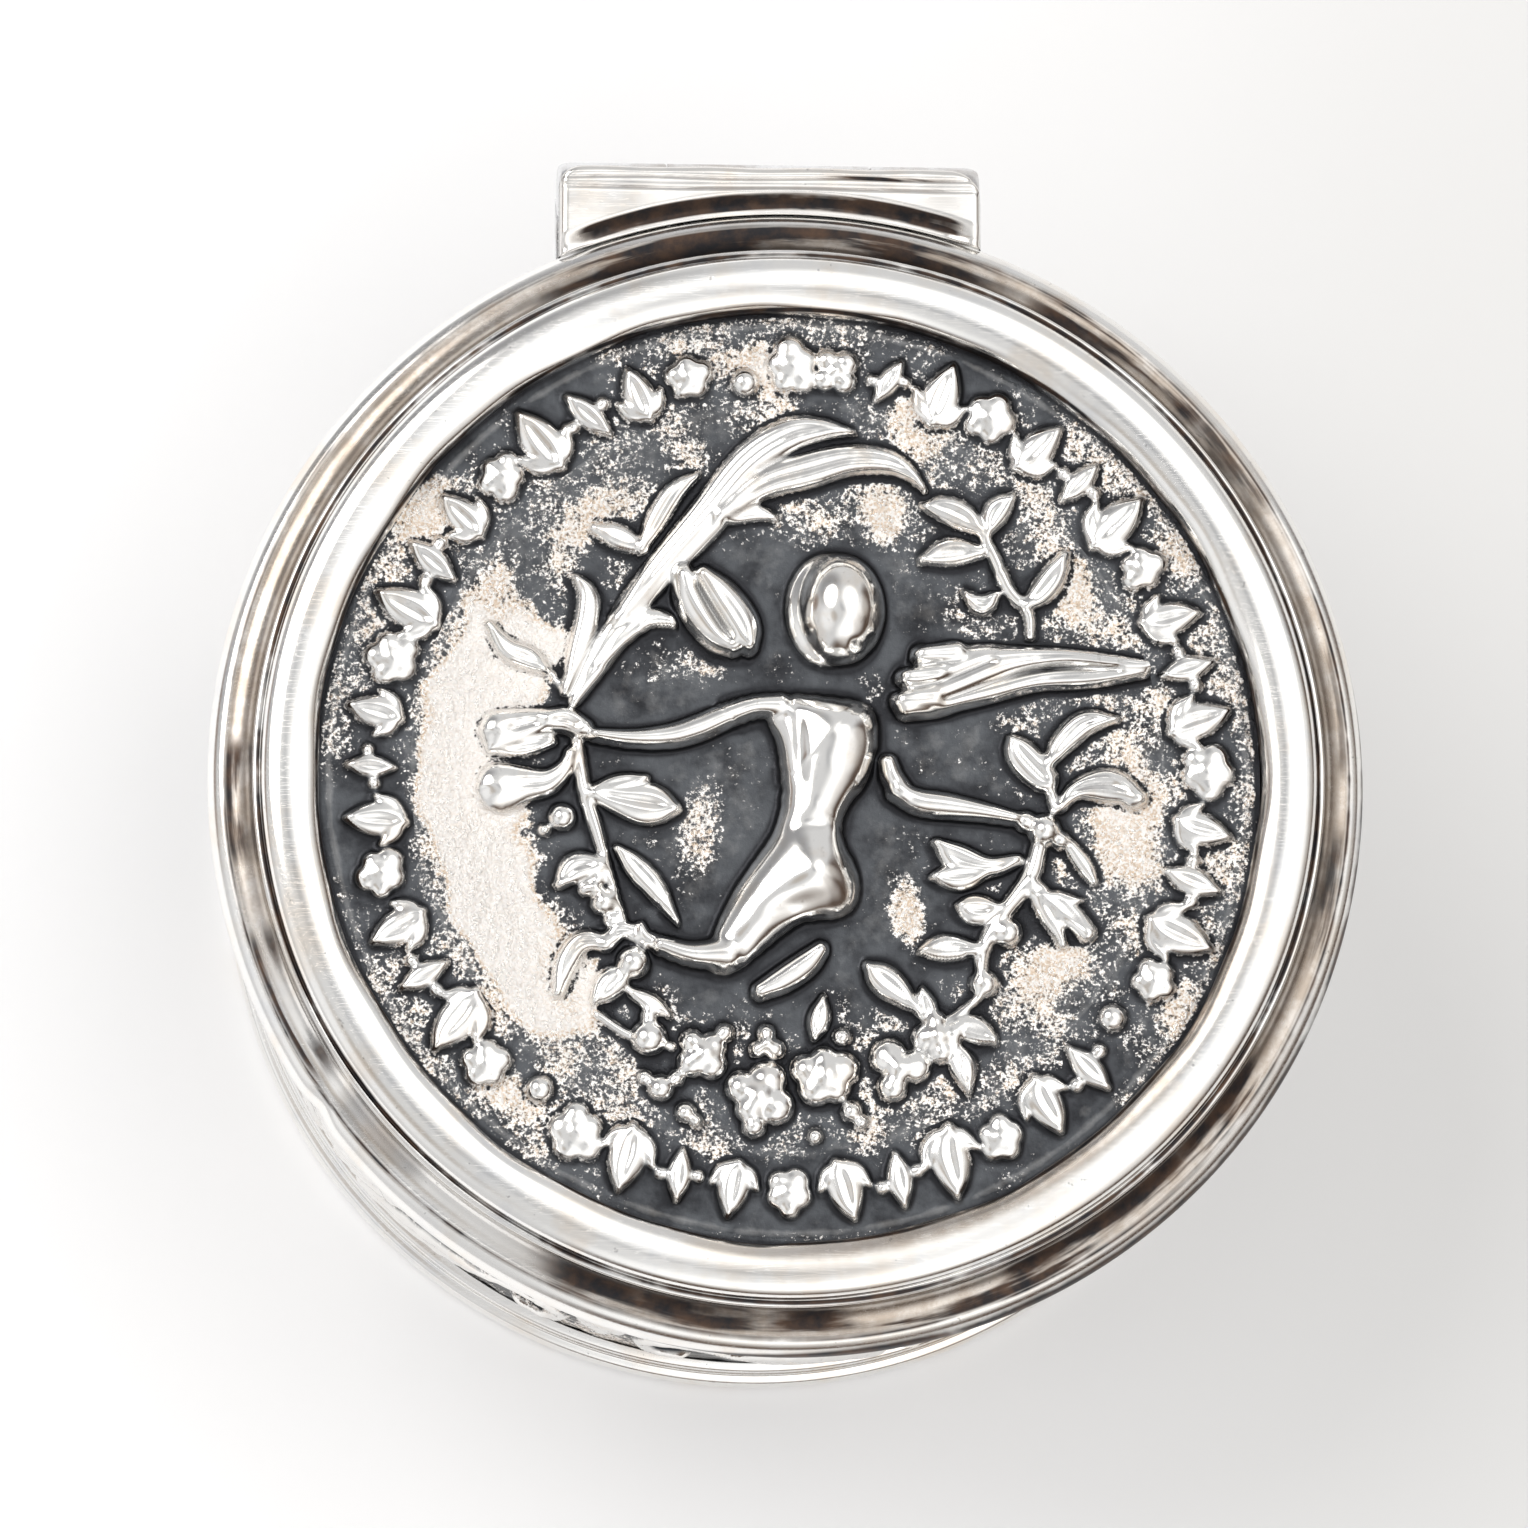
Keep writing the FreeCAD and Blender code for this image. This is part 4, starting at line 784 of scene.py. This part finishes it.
def chase_wall(work, width):
    """One repeat of the wall's ornament: tall leaf, side leaves, scrolls and a flower at the join."""
    half = width / 2
    work.leaf(0.5, [(0, -6.5, 0.5), (0, -3.6, 1.45), (0, -1.0, 1.5), (0, 1.4, 1.0), (0, 3.7, 0.1)])
    for side in (-1, 1):
        def place(points, side=side):
            return [(x * side, y, w) for x, y, w in points]

        work.leaf(0.45, place([(0.8, -6.0, 0.4), (2.2, -3.9, 0.85), (3.3, -1.8, 0.75), (4.4, 0.5, 0.1)]))
        work.leaf(0.45, place([(1.2, -6.8, 0.35), (3.2, -6.0, 0.7), (5.2, -5.2, 0.65), (7.1, -3.9, 0.1)]))
        work.stem(0.45, place([(0.5, 0.2, 0.2), (1.6, 1.6, 0.3), (2.3, 3.4, 0.4), (3.2, 5.4, 0.5),
                               (5.0, 6.2, 0.5), (6.8, 5.3, 0.48), (7.3, 3.5, 0.45), (6.3, 2.0, 0.4),
                               (4.9, 2.0, 0.34), (4.2, 3.2, 0.28), (4.9, 4.2, 0.26)]))
        work.knob(side * 5.1, 3.8, 0.5, 0.42)
        work.leaf(0.4, place([(3.3, 5.4, 0.3), (2.2, 6.3, 0.55), (0.9, 6.5, 0.1)]))
        work.leaf(0.38, place([(6.4, 2.0, 0.2), (6.2, 0.4, 0.5), (5.2, -0.9, 0.1)]))
        work.stem(0.38, place([(7.1, -3.9, 0.2), (8.6, -3.4, 0.26), (9.8, -4.6, 0.26), (9.3, -6.0, 0.22),
                               (8.2, -5.8, 0.2)]))
        work.leaf(0.4, place([(7.4, 4.6, 0.25), (9.0, 5.7, 0.5), (11.0, 6.0, 0.15)]))
        work.flower(side * half, 0.72, 2.0, 0.5, 6, 90)
        work.leaf(0.38, place([(half, -1.4, 0.2), (half - 0.4, -3.2, 0.55), (half, -4.9, 0.1)]))
    for x in np.arange(-half, half + 0.1, width / 18):
        work.knob(x, 7.3, 0.32, 0.3)


def wrapped(field, reach):
    """A field round the wall, carried on past both of its ends."""
    return np.pad(field[:, :-1], ((0, 0), (reach, reach)), mode="wrap")


def make_wall_outside():
    """Chased outside of the wall, as a half to the right of the hinge line and a half to the left."""
    around = 840
    across = 160
    width = TURN * WALL_RADIUS / WALL_REPEATS
    turn, z = np.meshgrid(np.linspace(0, TURN, around + 1),
                          np.linspace(WALL_LOW - 0.05, WALL_HIGH + 0.05, across + 1))
    flat_x = (turn * WALL_RADIUS + width / 2) % width - width / 2
    flat_y = z - (WALL_LOW + WALL_HIGH) / 2
    work = Chasing(flat_x.ravel(), flat_y.ravel())
    chase_wall(work, width)
    height = softened(wrapped(work.height.reshape(turn.shape), 4), 2)[:, 4:-3]
    low = sunk(wrapped(height, 40))[:, 40:-39]
    even = np.cos(turn) * WALL_RADIUS
    other = np.sin(turn) * WALL_RADIUS
    rough = 0.02 * ripple(even + z, other - z, 1.4, 8) + 0.012 * ripple(even - z, other + z, 0.6, 9)
    radius = WALL_RADIUS - 0.04 + rough + np.minimum(height, 0.5)
    frosted = 0.38 + 0.25 * ripple(even + 0.6 * z, other - 0.8 * z, 6, 10)
    halves = []
    for name, first in (("wall_back", 0), ("wall_front", around // 2)):
        def place(u, v, first=first):
            row = np.rint(v * across).astype(int)
            column = np.rint(u * around / 2).astype(int) + first
            at = (row, column)
            return (radius[at] * np.cos(turn[at]), radius[at] * np.sin(turn[at]), z[at],
                    {"raised": height[at], "hollow": low[at], "worn": frosted[at]})

        halves.append(skin(name, around // 2, across, place))
    return halves


def make_wall_inside():
    """Inside of the wall, with the lip that goes up into the lid."""
    section = soft_profile([(WALL_RADIUS, WALL_HIGH, 0), (WALL_RADIUS, LIP_TOP, 0.12),
                            (LINING_RADIUS, LIP_TOP, 0.12), (LINING_RADIUS, LINING_LOW, 0),
                            (WALL_RADIUS - 0.02, LINING_LOW, 0), (WALL_RADIUS - 0.02, WALL_LOW, 0)])
    return turned("wall_inside", section[:-1], LINING_FACES)


# Hinge sizes: ends, middle barrel and pin, then the bar that covers the barrels with its corners and lines.
HINGE_MIDDLE = -0.6
HINGE_LENGTH = 14.7
HINGE_LEFT = HINGE_MIDDLE - HINGE_LENGTH / 2
HINGE_RIGHT = HINGE_MIDDLE + HINGE_LENGTH / 2
MIDDLE_BARREL = 0.48 * HINGE_LENGTH
BARREL_GAP = 0.025
PIN_Y = 20.92
PIN_Z = 18.6
PIN_HOLE = 0.41
BARREL_RADIUS = 1.0
COVER_LOW = 19.7
COVER_TOP = 20.25
COVER_FRONT_RADIUS = 19.93
COVER_REAR = 21.57
LEFT_CORNER = 0.75
RIGHT_CORNER = 1.1
FIRST_LINE = COVER_REAR - 0.42
SECOND_LINE = COVER_REAR - 0.78


def fall(away, radius):
    """How far a rounded edge has fallen off, by the distance in from it."""
    return radius - np.sqrt(np.clip(radius ** 2 - (radius - np.minimum(away, radius)) ** 2, 0, None))


def make_cover():
    """Bar over the hinge: hollow along the bead, rounded rear corners and two worn lines along it."""
    def place(u, v):
        x = HINGE_LEFT + HINGE_LENGTH * u
        front = np.sqrt(COVER_FRONT_RADIUS ** 2 - x ** 2)
        corner = np.where(x < 0, LEFT_CORNER, RIGHT_CORNER)
        end = np.minimum(x - HINGE_LEFT, HINGE_RIGHT - x)
        rear = np.maximum(COVER_REAR - fall(end, corner) + 0.02 * np.sin(x * 1.7), front + 0.3)
        y = front + (rear - front) * v
        z = COVER_TOP - fall(np.minimum(end, rear - y), 0.3) - 0.02 + 0.012 * ripple(x, y, 2.5, 21)
        line = FIRST_LINE + 0.03 * np.sin(x * 0.9)
        second = SECOND_LINE + 0.02 * np.sin(x * 0.7 + 1)
        z = z - 0.07 * bump(y, line, 0.06) - 0.05 * bump(y, second, 0.08)
        inward = step(end, 0.25, 1.3)
        depth = y - front
        z = z - 0.42 * (1 - step(depth, 0.22, 0.82)) * (0.5 + 0.5 * inward)
        dark = bump(y, line, 0.08) * (0.4 + 0.6 * step(x, 0.5, 2.5)) * step(end, 0.4, 1.2)
        dark = np.maximum(dark, 0.45 * bump(y, second, 0.08) * inward)
        hollow = step(depth, 0.1, 0.25) * (1 - step(depth, 0.6, 0.8)) * inward
        dark = np.maximum(dark, hollow)
        rim = (u < 1e-6) | (u > 1 - 1e-6) | (v < 1e-6) | (v > 1 - 1e-6)
        z = np.where(rim, COVER_LOW, z)
        return x, y, z, {"tarnish": dark, "quirk": hollow * 0.85, "dull": 0.2 + 0.5 * dark}

    def under(u, v):
        x, y, _, _ = place(u, v)
        return x, y, np.full_like(x, COVER_LOW), {"tarnish": x * 0 + 0.2, "quirk": x * 0, "dull": x * 0}

    return [skin(name, 220, 48, side) for name, side in (("cover_top", place), ("cover_under", under))]


def round_bar(name, left, section):
    """Turned bar along the hinge from its left end: section as radius and distance along."""
    mesh = turned(name, section, BARREL_FACES)
    flat = np.empty(len(mesh.vertices) * 3)
    mesh.vertices.foreach_get("co", flat)
    places = flat.reshape(-1, 3)
    moved = np.column_stack((places[:, 2] + left * MM, places[:, 0] + PIN_Y * MM, places[:, 1] + PIN_Z * MM))
    mesh.vertices.foreach_set("co", moved.ravel())
    return mesh


def barrel(name, left, right, left_round, right_round):
    length = right - left
    section = soft_profile([(PIN_HOLE, 0, 0.04), (BARREL_RADIUS, 0, left_round),
                            (BARREL_RADIUS, length, right_round), (PIN_HOLE, length, 0.04)])
    return round_bar(name, left, section)


class Nodes:
    """The steps of one look, and the joins between them."""

    def __init__(self, tree):
        self.tree = tree
        self.tree.nodes.clear()

    def node(self, kind, **settings):
        made = self.tree.nodes.new(kind)
        for key, value in settings.items():
            setattr(made, key, value)
        return made

    def join(self, source, socket):
        if isinstance(source, bpy.types.NodeSocket):
            self.tree.links.new(source, socket)
        else:
            socket.default_value = source

    def spread(self, value, low, high, to_low=0.0, to_high=1.0):
        """Stretches a value between two levels, softly."""
        made = self.node("ShaderNodeMapRange", interpolation_type="SMOOTHSTEP")
        for number, socket in zip((value, low, high, to_low, to_high), made.inputs):
            self.join(number, socket)
        return made.outputs[0]

    def blend(self, share, first, second, kind="MIX"):
        made = self.node("ShaderNodeMix", data_type="RGBA", blend_type=kind)
        self.join(share, made.inputs[0])
        for colour, socket in ((first, made.inputs[6]), (second, made.inputs[7])):
            self.join(colour if isinstance(colour, bpy.types.NodeSocket) else (*colour, 1.0), socket)
        return made.outputs[2]


class Finish(Nodes):
    """One surface finish, built up from grain, scratches and marks."""

    def __init__(self, name):
        self.material = bpy.data.materials.new(name)
        self.material.use_nodes = True
        super().__init__(self.material.node_tree)
        self.surface = self.node("ShaderNodeBsdfPrincipled")
        self.join(self.surface.outputs[0], self.node("ShaderNodeOutputMaterial").inputs[0])
        self.place = self.node("ShaderNodeTexCoord").outputs["Object"]

    def sums(self, operation, *values, clamp=False):
        made = self.node("ShaderNodeMath", operation=operation, use_clamp=clamp)
        for value, socket in zip(values, made.inputs):
            self.join(value, socket)
        return made.outputs[0]

    def plus(self, first, second):
        return self.sums("ADD", first, second)

    def times(self, first, second):
        return self.sums("MULTIPLY", first, second)

    def axes(self):
        """Distance to the right, to the back and up."""
        parts = self.node("ShaderNodeSeparateXYZ")
        self.join(self.place, parts.inputs[0])
        return parts.outputs

    def cloud(self, size, detail, rough=0.6, at=None):
        """Soft grain of about that size in millimetres."""
        made = self.node("ShaderNodeTexNoise")
        self.join(at or self.place, made.inputs["Vector"])
        self.join(1 / (size * MM), made.inputs["Scale"])
        self.join(detail, made.inputs["Detail"])
        self.join(rough, made.inputs["Roughness"])
        return made.outputs[0]

    def mark(self, name):
        return self.node("ShaderNodeAttribute", attribute_name=name).outputs["Fac"]

    def streaks(self, across, along, detail):
        """Rubbed lines that run round the box."""
        x, y, z = self.axes()
        radius = self.sums("SQRT", self.plus(self.times(x, x), self.times(y, y)))
        safe = self.sums("MAXIMUM", radius, 0.0001)
        spread_out = self.node("ShaderNodeCombineXYZ")
        for value, socket in zip((x, y), spread_out.inputs):
            self.join(self.times(self.sums("DIVIDE", value, safe), WALL_RADIUS / along), socket)
        self.join(self.times(self.plus(radius, z), 1 / (across * MM)), spread_out.inputs[2])
        return self.cloud(1 / MM, detail, 0.5, spread_out.outputs[0])

    def scratches(self, size, turn, thin):
        """Fine straight hairlines in one main direction."""
        spun = self.node("ShaderNodeMapping")
        self.join(self.place, spun.inputs["Vector"])
        spun.inputs["Rotation"].default_value = (0, 0, math.radians(turn))
        spun.inputs["Scale"].default_value = (1, 22, 22)
        lines = self.cloud(size, 1.0, 0.4, spun.outputs[0])
        away = self.sums("ABSOLUTE", self.sums("SUBTRACT", lines, 0.5))
        return self.spread(away, 0.0, thin, 1.0, 0.0)

    def relief(self, height, distance, strength=1.0, under=None):
        made = self.node("ShaderNodeBump")
        self.join(strength, made.inputs["Strength"])
        self.join(distance * MM, made.inputs["Distance"])
        self.join(height, made.inputs["Height"])
        if under:
            self.join(under, made.inputs["Normal"])
        return made.outputs[0]

    def set(self, **values):
        names = {"colour": "Base Color", "metal": "Metallic", "rough": "Roughness", "normal": "Normal"}
        for key, value in values.items():
            if key == "colour" and not isinstance(value, bpy.types.NodeSocket):
                value = (*value, 1.0)
            self.join(value, self.surface.inputs[names[key]])


SILVER = (0.91, 0.898, 0.875)
COOL_SILVER = (0.80, 0.805, 0.815)
WARM_SILVER = (0.86, 0.79, 0.71)
OXIDE = (0.030, 0.031, 0.035)
SLATE = (0.095, 0.101, 0.110)
BROWN_TARNISH = (0.11, 0.07, 0.05)
# Dull silver of the hollow, also used for painted dark reflection on the frame's inner slope.
DULL_SILVER_AND_SHADE = (0.44, 0.375, 0.315)
PALE_GRAIN = (0.98, 0.95, 0.92)
PINK_GRAIN = (0.74, 0.59, 0.45)
STAINED_SILVER = (0.45, 0.42, 0.39)
CLOUDED_SILVER = (0.42, 0.38, 0.35)
PAPER = (0.92, 0.92, 0.925)
SHADED_PAPER = (0.755, 0.752, 0.745)


def polished_silver(name, marked):
    """Bright silver rubbed smooth by years of use, with dark tarnish where a cloth doesn't reach; where
    marked, also painted shade under the bead and painted dark reflections on the bead and the frame's inner
    slope at the lower right.
    """
    f = Finish(name)
    round_lines = f.streaks(0.3, 9.0, 3.0)
    hairs = f.sums("MAXIMUM", f.scratches(2.6, 24, 0.004), f.scratches(3.4, -51, 0.003))
    clouds = f.cloud(3.2, 4.0)
    colour = f.blend(f.spread(f.cloud(1.7, 3.0), 0.5, 0.72, 0.0, 0.6), SILVER, COOL_SILVER)
    colour = f.blend(f.spread(clouds, 0.48, 0.7, 0.0, 0.85), colour, WARM_SILVER)
    rough = f.plus(f.spread(round_lines, 0.35, 0.7, 0.12, 0.19), f.times(hairs, 0.08))
    height = f.plus(f.times(round_lines, 0.25), f.times(hairs, -0.4))
    if marked:
        broken = f.spread(f.streaks(0.4, 6.0, 6.0), 0.36, 0.58, 0.2, 1.0)
        smears = f.spread(f.cloud(1.4, 6.0, 0.7), 0.3, 0.62, 0.6, 1.0)
        # The dull mark is dull silver in the hollow, and painted dark reflection on the frame's inner slope
        # at the lower right.
        colour = f.blend(f.times(f.mark("dull"), smears), colour, DULL_SILVER_AND_SHADE)
        rough = f.plus(rough, f.times(f.mark("dull"), 0.12))
        dark = f.times(f.mark("tarnish"), broken)
        # The edge lines are tarnish, and under the bead painted shade and painted dark reflection.
        line = f.times(f.mark("quirk"), f.spread(clouds, 0.3, 0.6, 0.5, 1.0))
        dark = f.spread(f.sums("MAXIMUM", dark, line, clamp=True), 0.12, 0.72)
        tint = f.blend(f.spread(f.cloud(0.9, 5.0), 0.3, 0.75), OXIDE, BROWN_TARNISH)
        colour = f.blend(dark, colour, tint)
        rough = f.plus(rough, f.times(dark, 0.25))
    pits = f.spread(f.cloud(0.3, 2.0), 0.7, 0.76)
    colour = f.blend(f.times(pits, 0.3), colour, OXIDE)
    f.set(colour=colour, metal=1.0, rough=rough, normal=f.relief(height, 0.006, 0.3))
    return f.material


def chased_silver(name):
    """Raised work worn bright over a smooth dark ground, frosted in places with small bright grains; the
    palest frost, in a curved band at the left of the dish, is a painted highlight.
    """
    f = Finish(name)
    raised = f.mark("raised")
    hollow = f.mark("hollow")
    wear_and_highlight = f.mark("worn")
    fine = f.cloud(0.11, 3.0, 0.7)
    middle = f.cloud(0.30, 4.0, 0.65)
    broad = f.cloud(1.6, 4.0, 0.6)
    top = f.spread(raised, 0.08, 0.34)
    light = f.sums("SUBTRACT", f.plus(top, f.times(middle, 0.16)), 0.06)
    light = f.sums("SUBTRACT", light, f.times(hollow, 1.15), clamp=True)
    # The grain share is frosted wear, and at the left of the dish a painted highlight.
    frost = f.plus(f.times(wear_and_highlight, 0.60), f.spread(broad, 0.4, 0.75, 0.0, 0.10))
    frost = f.sums("SUBTRACT", frost, f.times(f.spread(hollow, 0.1, 0.5), 0.25))
    edge = f.sums("SUBTRACT", 0.87, frost)
    sprinkle = f.plus(f.times(fine, 0.6), f.times(middle, 0.5))
    bright_grain = f.spread(f.sums("SUBTRACT", sprinkle, edge), -0.05, 0.06)
    dark_ground = f.blend(f.spread(broad, 0.35, 0.7), SLATE, OXIDE)
    dark_ground = f.blend(f.spread(hollow, 0.05, 0.4), dark_ground, OXIDE)
    grain_colour = f.blend(f.spread(fine, 0.42, 0.56), PINK_GRAIN, PALE_GRAIN)
    # Where the grain share is highest the grain turns pale: strong wear patches, and the painted highlight at
    # the left of the dish.
    grain_colour = f.blend(f.spread(wear_and_highlight, 0.7, 0.95, 0.0, 0.8), grain_colour, PALE_GRAIN)
    ground = f.blend(bright_grain, dark_ground, grain_colour)
    metal_top = f.blend(f.spread(broad, 0.5, 0.72, 0.0, 0.7), SILVER, WARM_SILVER)
    metal_top = f.blend(f.spread(middle, 0.6, 0.75, 0.0, 0.35), metal_top, STAINED_SILVER)
    colour = f.blend(light, ground, metal_top)
    ground_rough = f.spread(bright_grain, 0.0, 1.0, 0.34, 0.28)
    rough = f.node("ShaderNodeMix", data_type="FLOAT")
    for value, socket in ((light, rough.inputs[0]), (ground_rough, rough.inputs[2]), (0.13, rough.inputs[3])):
        f.join(value, socket)
    grainy = f.times(f.spread(wear_and_highlight, 0.15, 0.7, 0.12, 1.0), f.spread(light, 0.1, 0.9, 1.0, 0.03))
    grain = f.relief(fine, 0.09, grainy)
    normal = f.relief(middle, 0.09, f.times(grainy, 0.8), grain)
    f.set(colour=colour, metal=f.spread(light, 0.0, 0.6, 0.88, 1.0), rough=rough.outputs[0], normal=normal)
    return f.material


def plain_silver(name, rough_low, rough_high):
    """Silver of the parts that are hardly seen: duller, with soft clouds."""
    f = Finish(name)
    clouds = f.cloud(2.0, 5.0, 0.65)
    fine = f.cloud(0.25, 3.0)
    colour = f.blend(f.spread(clouds, 0.4, 0.75), COOL_SILVER, CLOUDED_SILVER)
    f.set(colour=colour, metal=1.0, rough=f.spread(fine, 0.3, 0.7, rough_low, rough_high),
          normal=f.relief(fine, 0.015, 0.5))
    return f.material


rim_silver = polished_silver("rubbed silver of the mouldings", True)
wire_silver = polished_silver("rubbed silver of the wires", False)
relief_silver = chased_silver("chased silver")
inside_silver = plain_silver("dull silver inside", 0.28, 0.42)
hinge_silver = plain_silver("worn silver of the hinge", 0.2, 0.34)

joined("lid_moulding", [turned("moulding", frame_section(), MOULDING_FACES, frame_uneven, frame_marks)],
       rim_silver, "lid", "lid_frame")
joined("chased_dish", [make_dish()], relief_silver, "lid", "relief_plate")
joined("chased_ring", [make_ring()], relief_silver, "lid", "relief_plate")
joined("plate_underside", [make_plate_back(), make_plate_edge()],
       inside_silver, "lid", "relief_plate")
for name, half in zip(("wall_chasing_back", "wall_chasing_front"), make_wall_outside()):
    joined(name, [half], relief_silver, "box", "body_wall")
joined("wall_lining", [make_wall_inside()], inside_silver, "box", "body_wall")
for name, section, node in (("mouth_wire", MOUTH_SECTION, "mouth_rim"),
                            ("foot_wire", FOOT_SECTION, "foot_ring")):
    joined(name, [turned(name, soft_profile(section), WIRE_FACES, wire_uneven)],
           wire_silver, "box", node)
joined("hinge_bar", make_cover(), rim_silver, "lid", "hinge_cover")

half_middle = MIDDLE_BARREL / 2 + BARREL_GAP
joined("left_barrel", [barrel("left", HINGE_LEFT, HINGE_MIDDLE - half_middle, 0.5, 0.1)],
       hinge_silver, "box", "knuckle_left")
joined("right_barrel", [barrel("right", HINGE_MIDDLE + half_middle, HINGE_RIGHT, 0.1, 0.58)],
       hinge_silver, "box", "knuckle_right")

for node, finish in (("base_plate", inside_silver), ("knuckle_centre", hinge_silver),
                     ("hinge_pin", hinge_silver), ("hinge_bearer", hinge_silver)):
    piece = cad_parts[node]
    piece.data.materials.clear()
    piece.data.materials.append(finish)


def make_floor():
    """Sheet of pale paper with painted shade that makes it a little greyer to the right; it keeps the shadow
    of the box.
    """
    bm = bmesh.new()
    bmesh.ops.create_grid(bm, x_segments=1, y_segments=1, size=0.6)
    mesh = bpy.data.meshes.new("floor")
    bm.to_mesh(mesh)
    bm.free()
    floor = bpy.data.objects.new("floor", mesh)
    bpy.context.collection.objects.link(floor)
    f = Finish("pale paper")
    # Painted shade: the paper is blended towards a greyer tone to the right of the box.
    f.set(colour=f.blend(f.spread(f.axes()[0], -0.002, 0.030), PAPER, SHADED_PAPER), rough=0.9)
    f.surface.inputs["Specular IOR Level"].default_value = 0.1
    seen = f.node("ShaderNodeLightPath")
    either = f.sums("MAXIMUM", seen.outputs["Is Camera Ray"], seen.outputs["Is Glossy Ray"])
    f.surface.inputs["Emission Color"].default_value = (1, 1, 1, 1)
    f.join(f.times(either, 0.06), f.surface.inputs["Emission Strength"])
    mesh.materials.append(f.material)


# The studio round the box: direction, inner and outer half angle in degrees, colour.
SKY = (0.70, 0.70, 0.705)
SHADES = [
    ((0.80, -0.58, 0.10), 26, 56, (0.09, 0.06, 0.045)),
    ((0.95, 0.20, 0.10), 10, 34, (0.12, 0.09, 0.075)),
    ((0.05, -0.97, 0.06), 14, 36, (0.12, 0.085, 0.065)),
    ((-0.95, 0.20, 0.06), 4, 16, (0.30, 0.24, 0.21)),
    ((-0.58, 0.62, 0.50), 12, 40, (0.31, 0.31, 0.32)),
    ((0.02, 0.10, 0.99), 2, 12, (0.46, 0.465, 0.48)),
    ((-0.45, -0.25, 0.85), 3, 14, (0.50, 0.46, 0.42)),
]
LIGHTS = [
    ((0.52, -0.42, 0.74), 6, 40, (0.75, 0.745, 0.73)),
    ((0.36, 0.30, 0.88), 2, 28, (1.2, 1.19, 1.16)),
    ((0.15, -0.75, 0.60), 6, 34, (0.55, 0.55, 0.54)),
    ((0.90, 0.10, 0.45), 4, 22, (0.4, 0.395, 0.38)),
    ((-0.75, -0.30, 0.60), 4, 26, (0.25, 0.25, 0.25)),
]


def make_sky():
    """Plain grey sky with the soft dark and light patches that the silver mirrors."""
    world = bpy.data.worlds.new("studio")
    bpy.context.scene.world = world
    world.use_nodes = True
    sky = Nodes(world.node_tree)
    look = sky.node("ShaderNodeTexCoord").outputs["Generated"]
    colour = SKY
    for kind, places in (("MIX", SHADES), ("ADD", LIGHTS)):
        for direction, inner, outer, value in places:
            dot = sky.node("ShaderNodeVectorMath", operation="DOT_PRODUCT")
            sky.join(look, dot.inputs[0])
            sky.join(Vector(direction).normalized(), dot.inputs[1])
            low, high = (math.cos(math.radians(angle)) for angle in (outer, inner))
            colour = sky.blend(sky.spread(dot.outputs["Value"], low, high), colour, value, kind)
    light = sky.node("ShaderNodeBackground")
    sky.join(colour, light.inputs[0])
    sky.join(light.outputs[0], sky.node("ShaderNodeOutputWorld").inputs[0])


def make_lamp():
    """One broad soft light, high at the back left."""
    lamp = bpy.data.lights.new("window", "AREA")
    lamp.shape = "DISK"
    lamp.size = 0.5
    lamp.energy = 2.0
    lamp.color = (1.0, 0.985, 0.965)
    holder = bpy.data.objects.new("window", lamp)
    away = Vector((-0.55, 0.40, 0.78)).normalized()
    holder.location = away * 0.7
    holder.rotation_euler = away.to_track_quat("Z", "Y").to_euler()
    bpy.context.collection.objects.link(holder)


# The camera: tilt from upright in degrees, distance, lens, and how far it aims past the middle of the lid.
TILT_LEFT = 3.87
TILT_FRONT = 9.66
CAMERA_AWAY = 450
LENS = 307
AIM_LEFT = 0.773
AIM_UP = 0.635


def make_camera():
    """Looks down on the lid from a little to the front and left."""
    tilt_x = -math.sin(math.radians(TILT_LEFT))
    tilt_y = -math.sin(math.radians(TILT_FRONT))
    back = Vector((tilt_x, tilt_y, math.sqrt(1 - tilt_x ** 2 - tilt_y ** 2)))
    right = Vector((0, 1, 0)).cross(back).normalized()
    up = back.cross(right)
    aim = Vector((0, 0, 19.35)) - right * AIM_LEFT + up * AIM_UP
    camera = bpy.data.cameras.new("camera")
    camera.sensor_width = 36
    camera.lens = LENS
    camera.clip_start = 0.01
    holder = bpy.data.objects.new("camera", camera)
    holder.location = (aim + back * CAMERA_AWAY) * MM
    holder.rotation_euler = Matrix((right, up, back)).transposed().to_euler()
    bpy.context.collection.objects.link(holder)
    bpy.context.scene.camera = holder


make_floor()
make_sky()
make_lamp()
make_camera()
bpy.context.scene.view_settings.view_transform = "Standard"
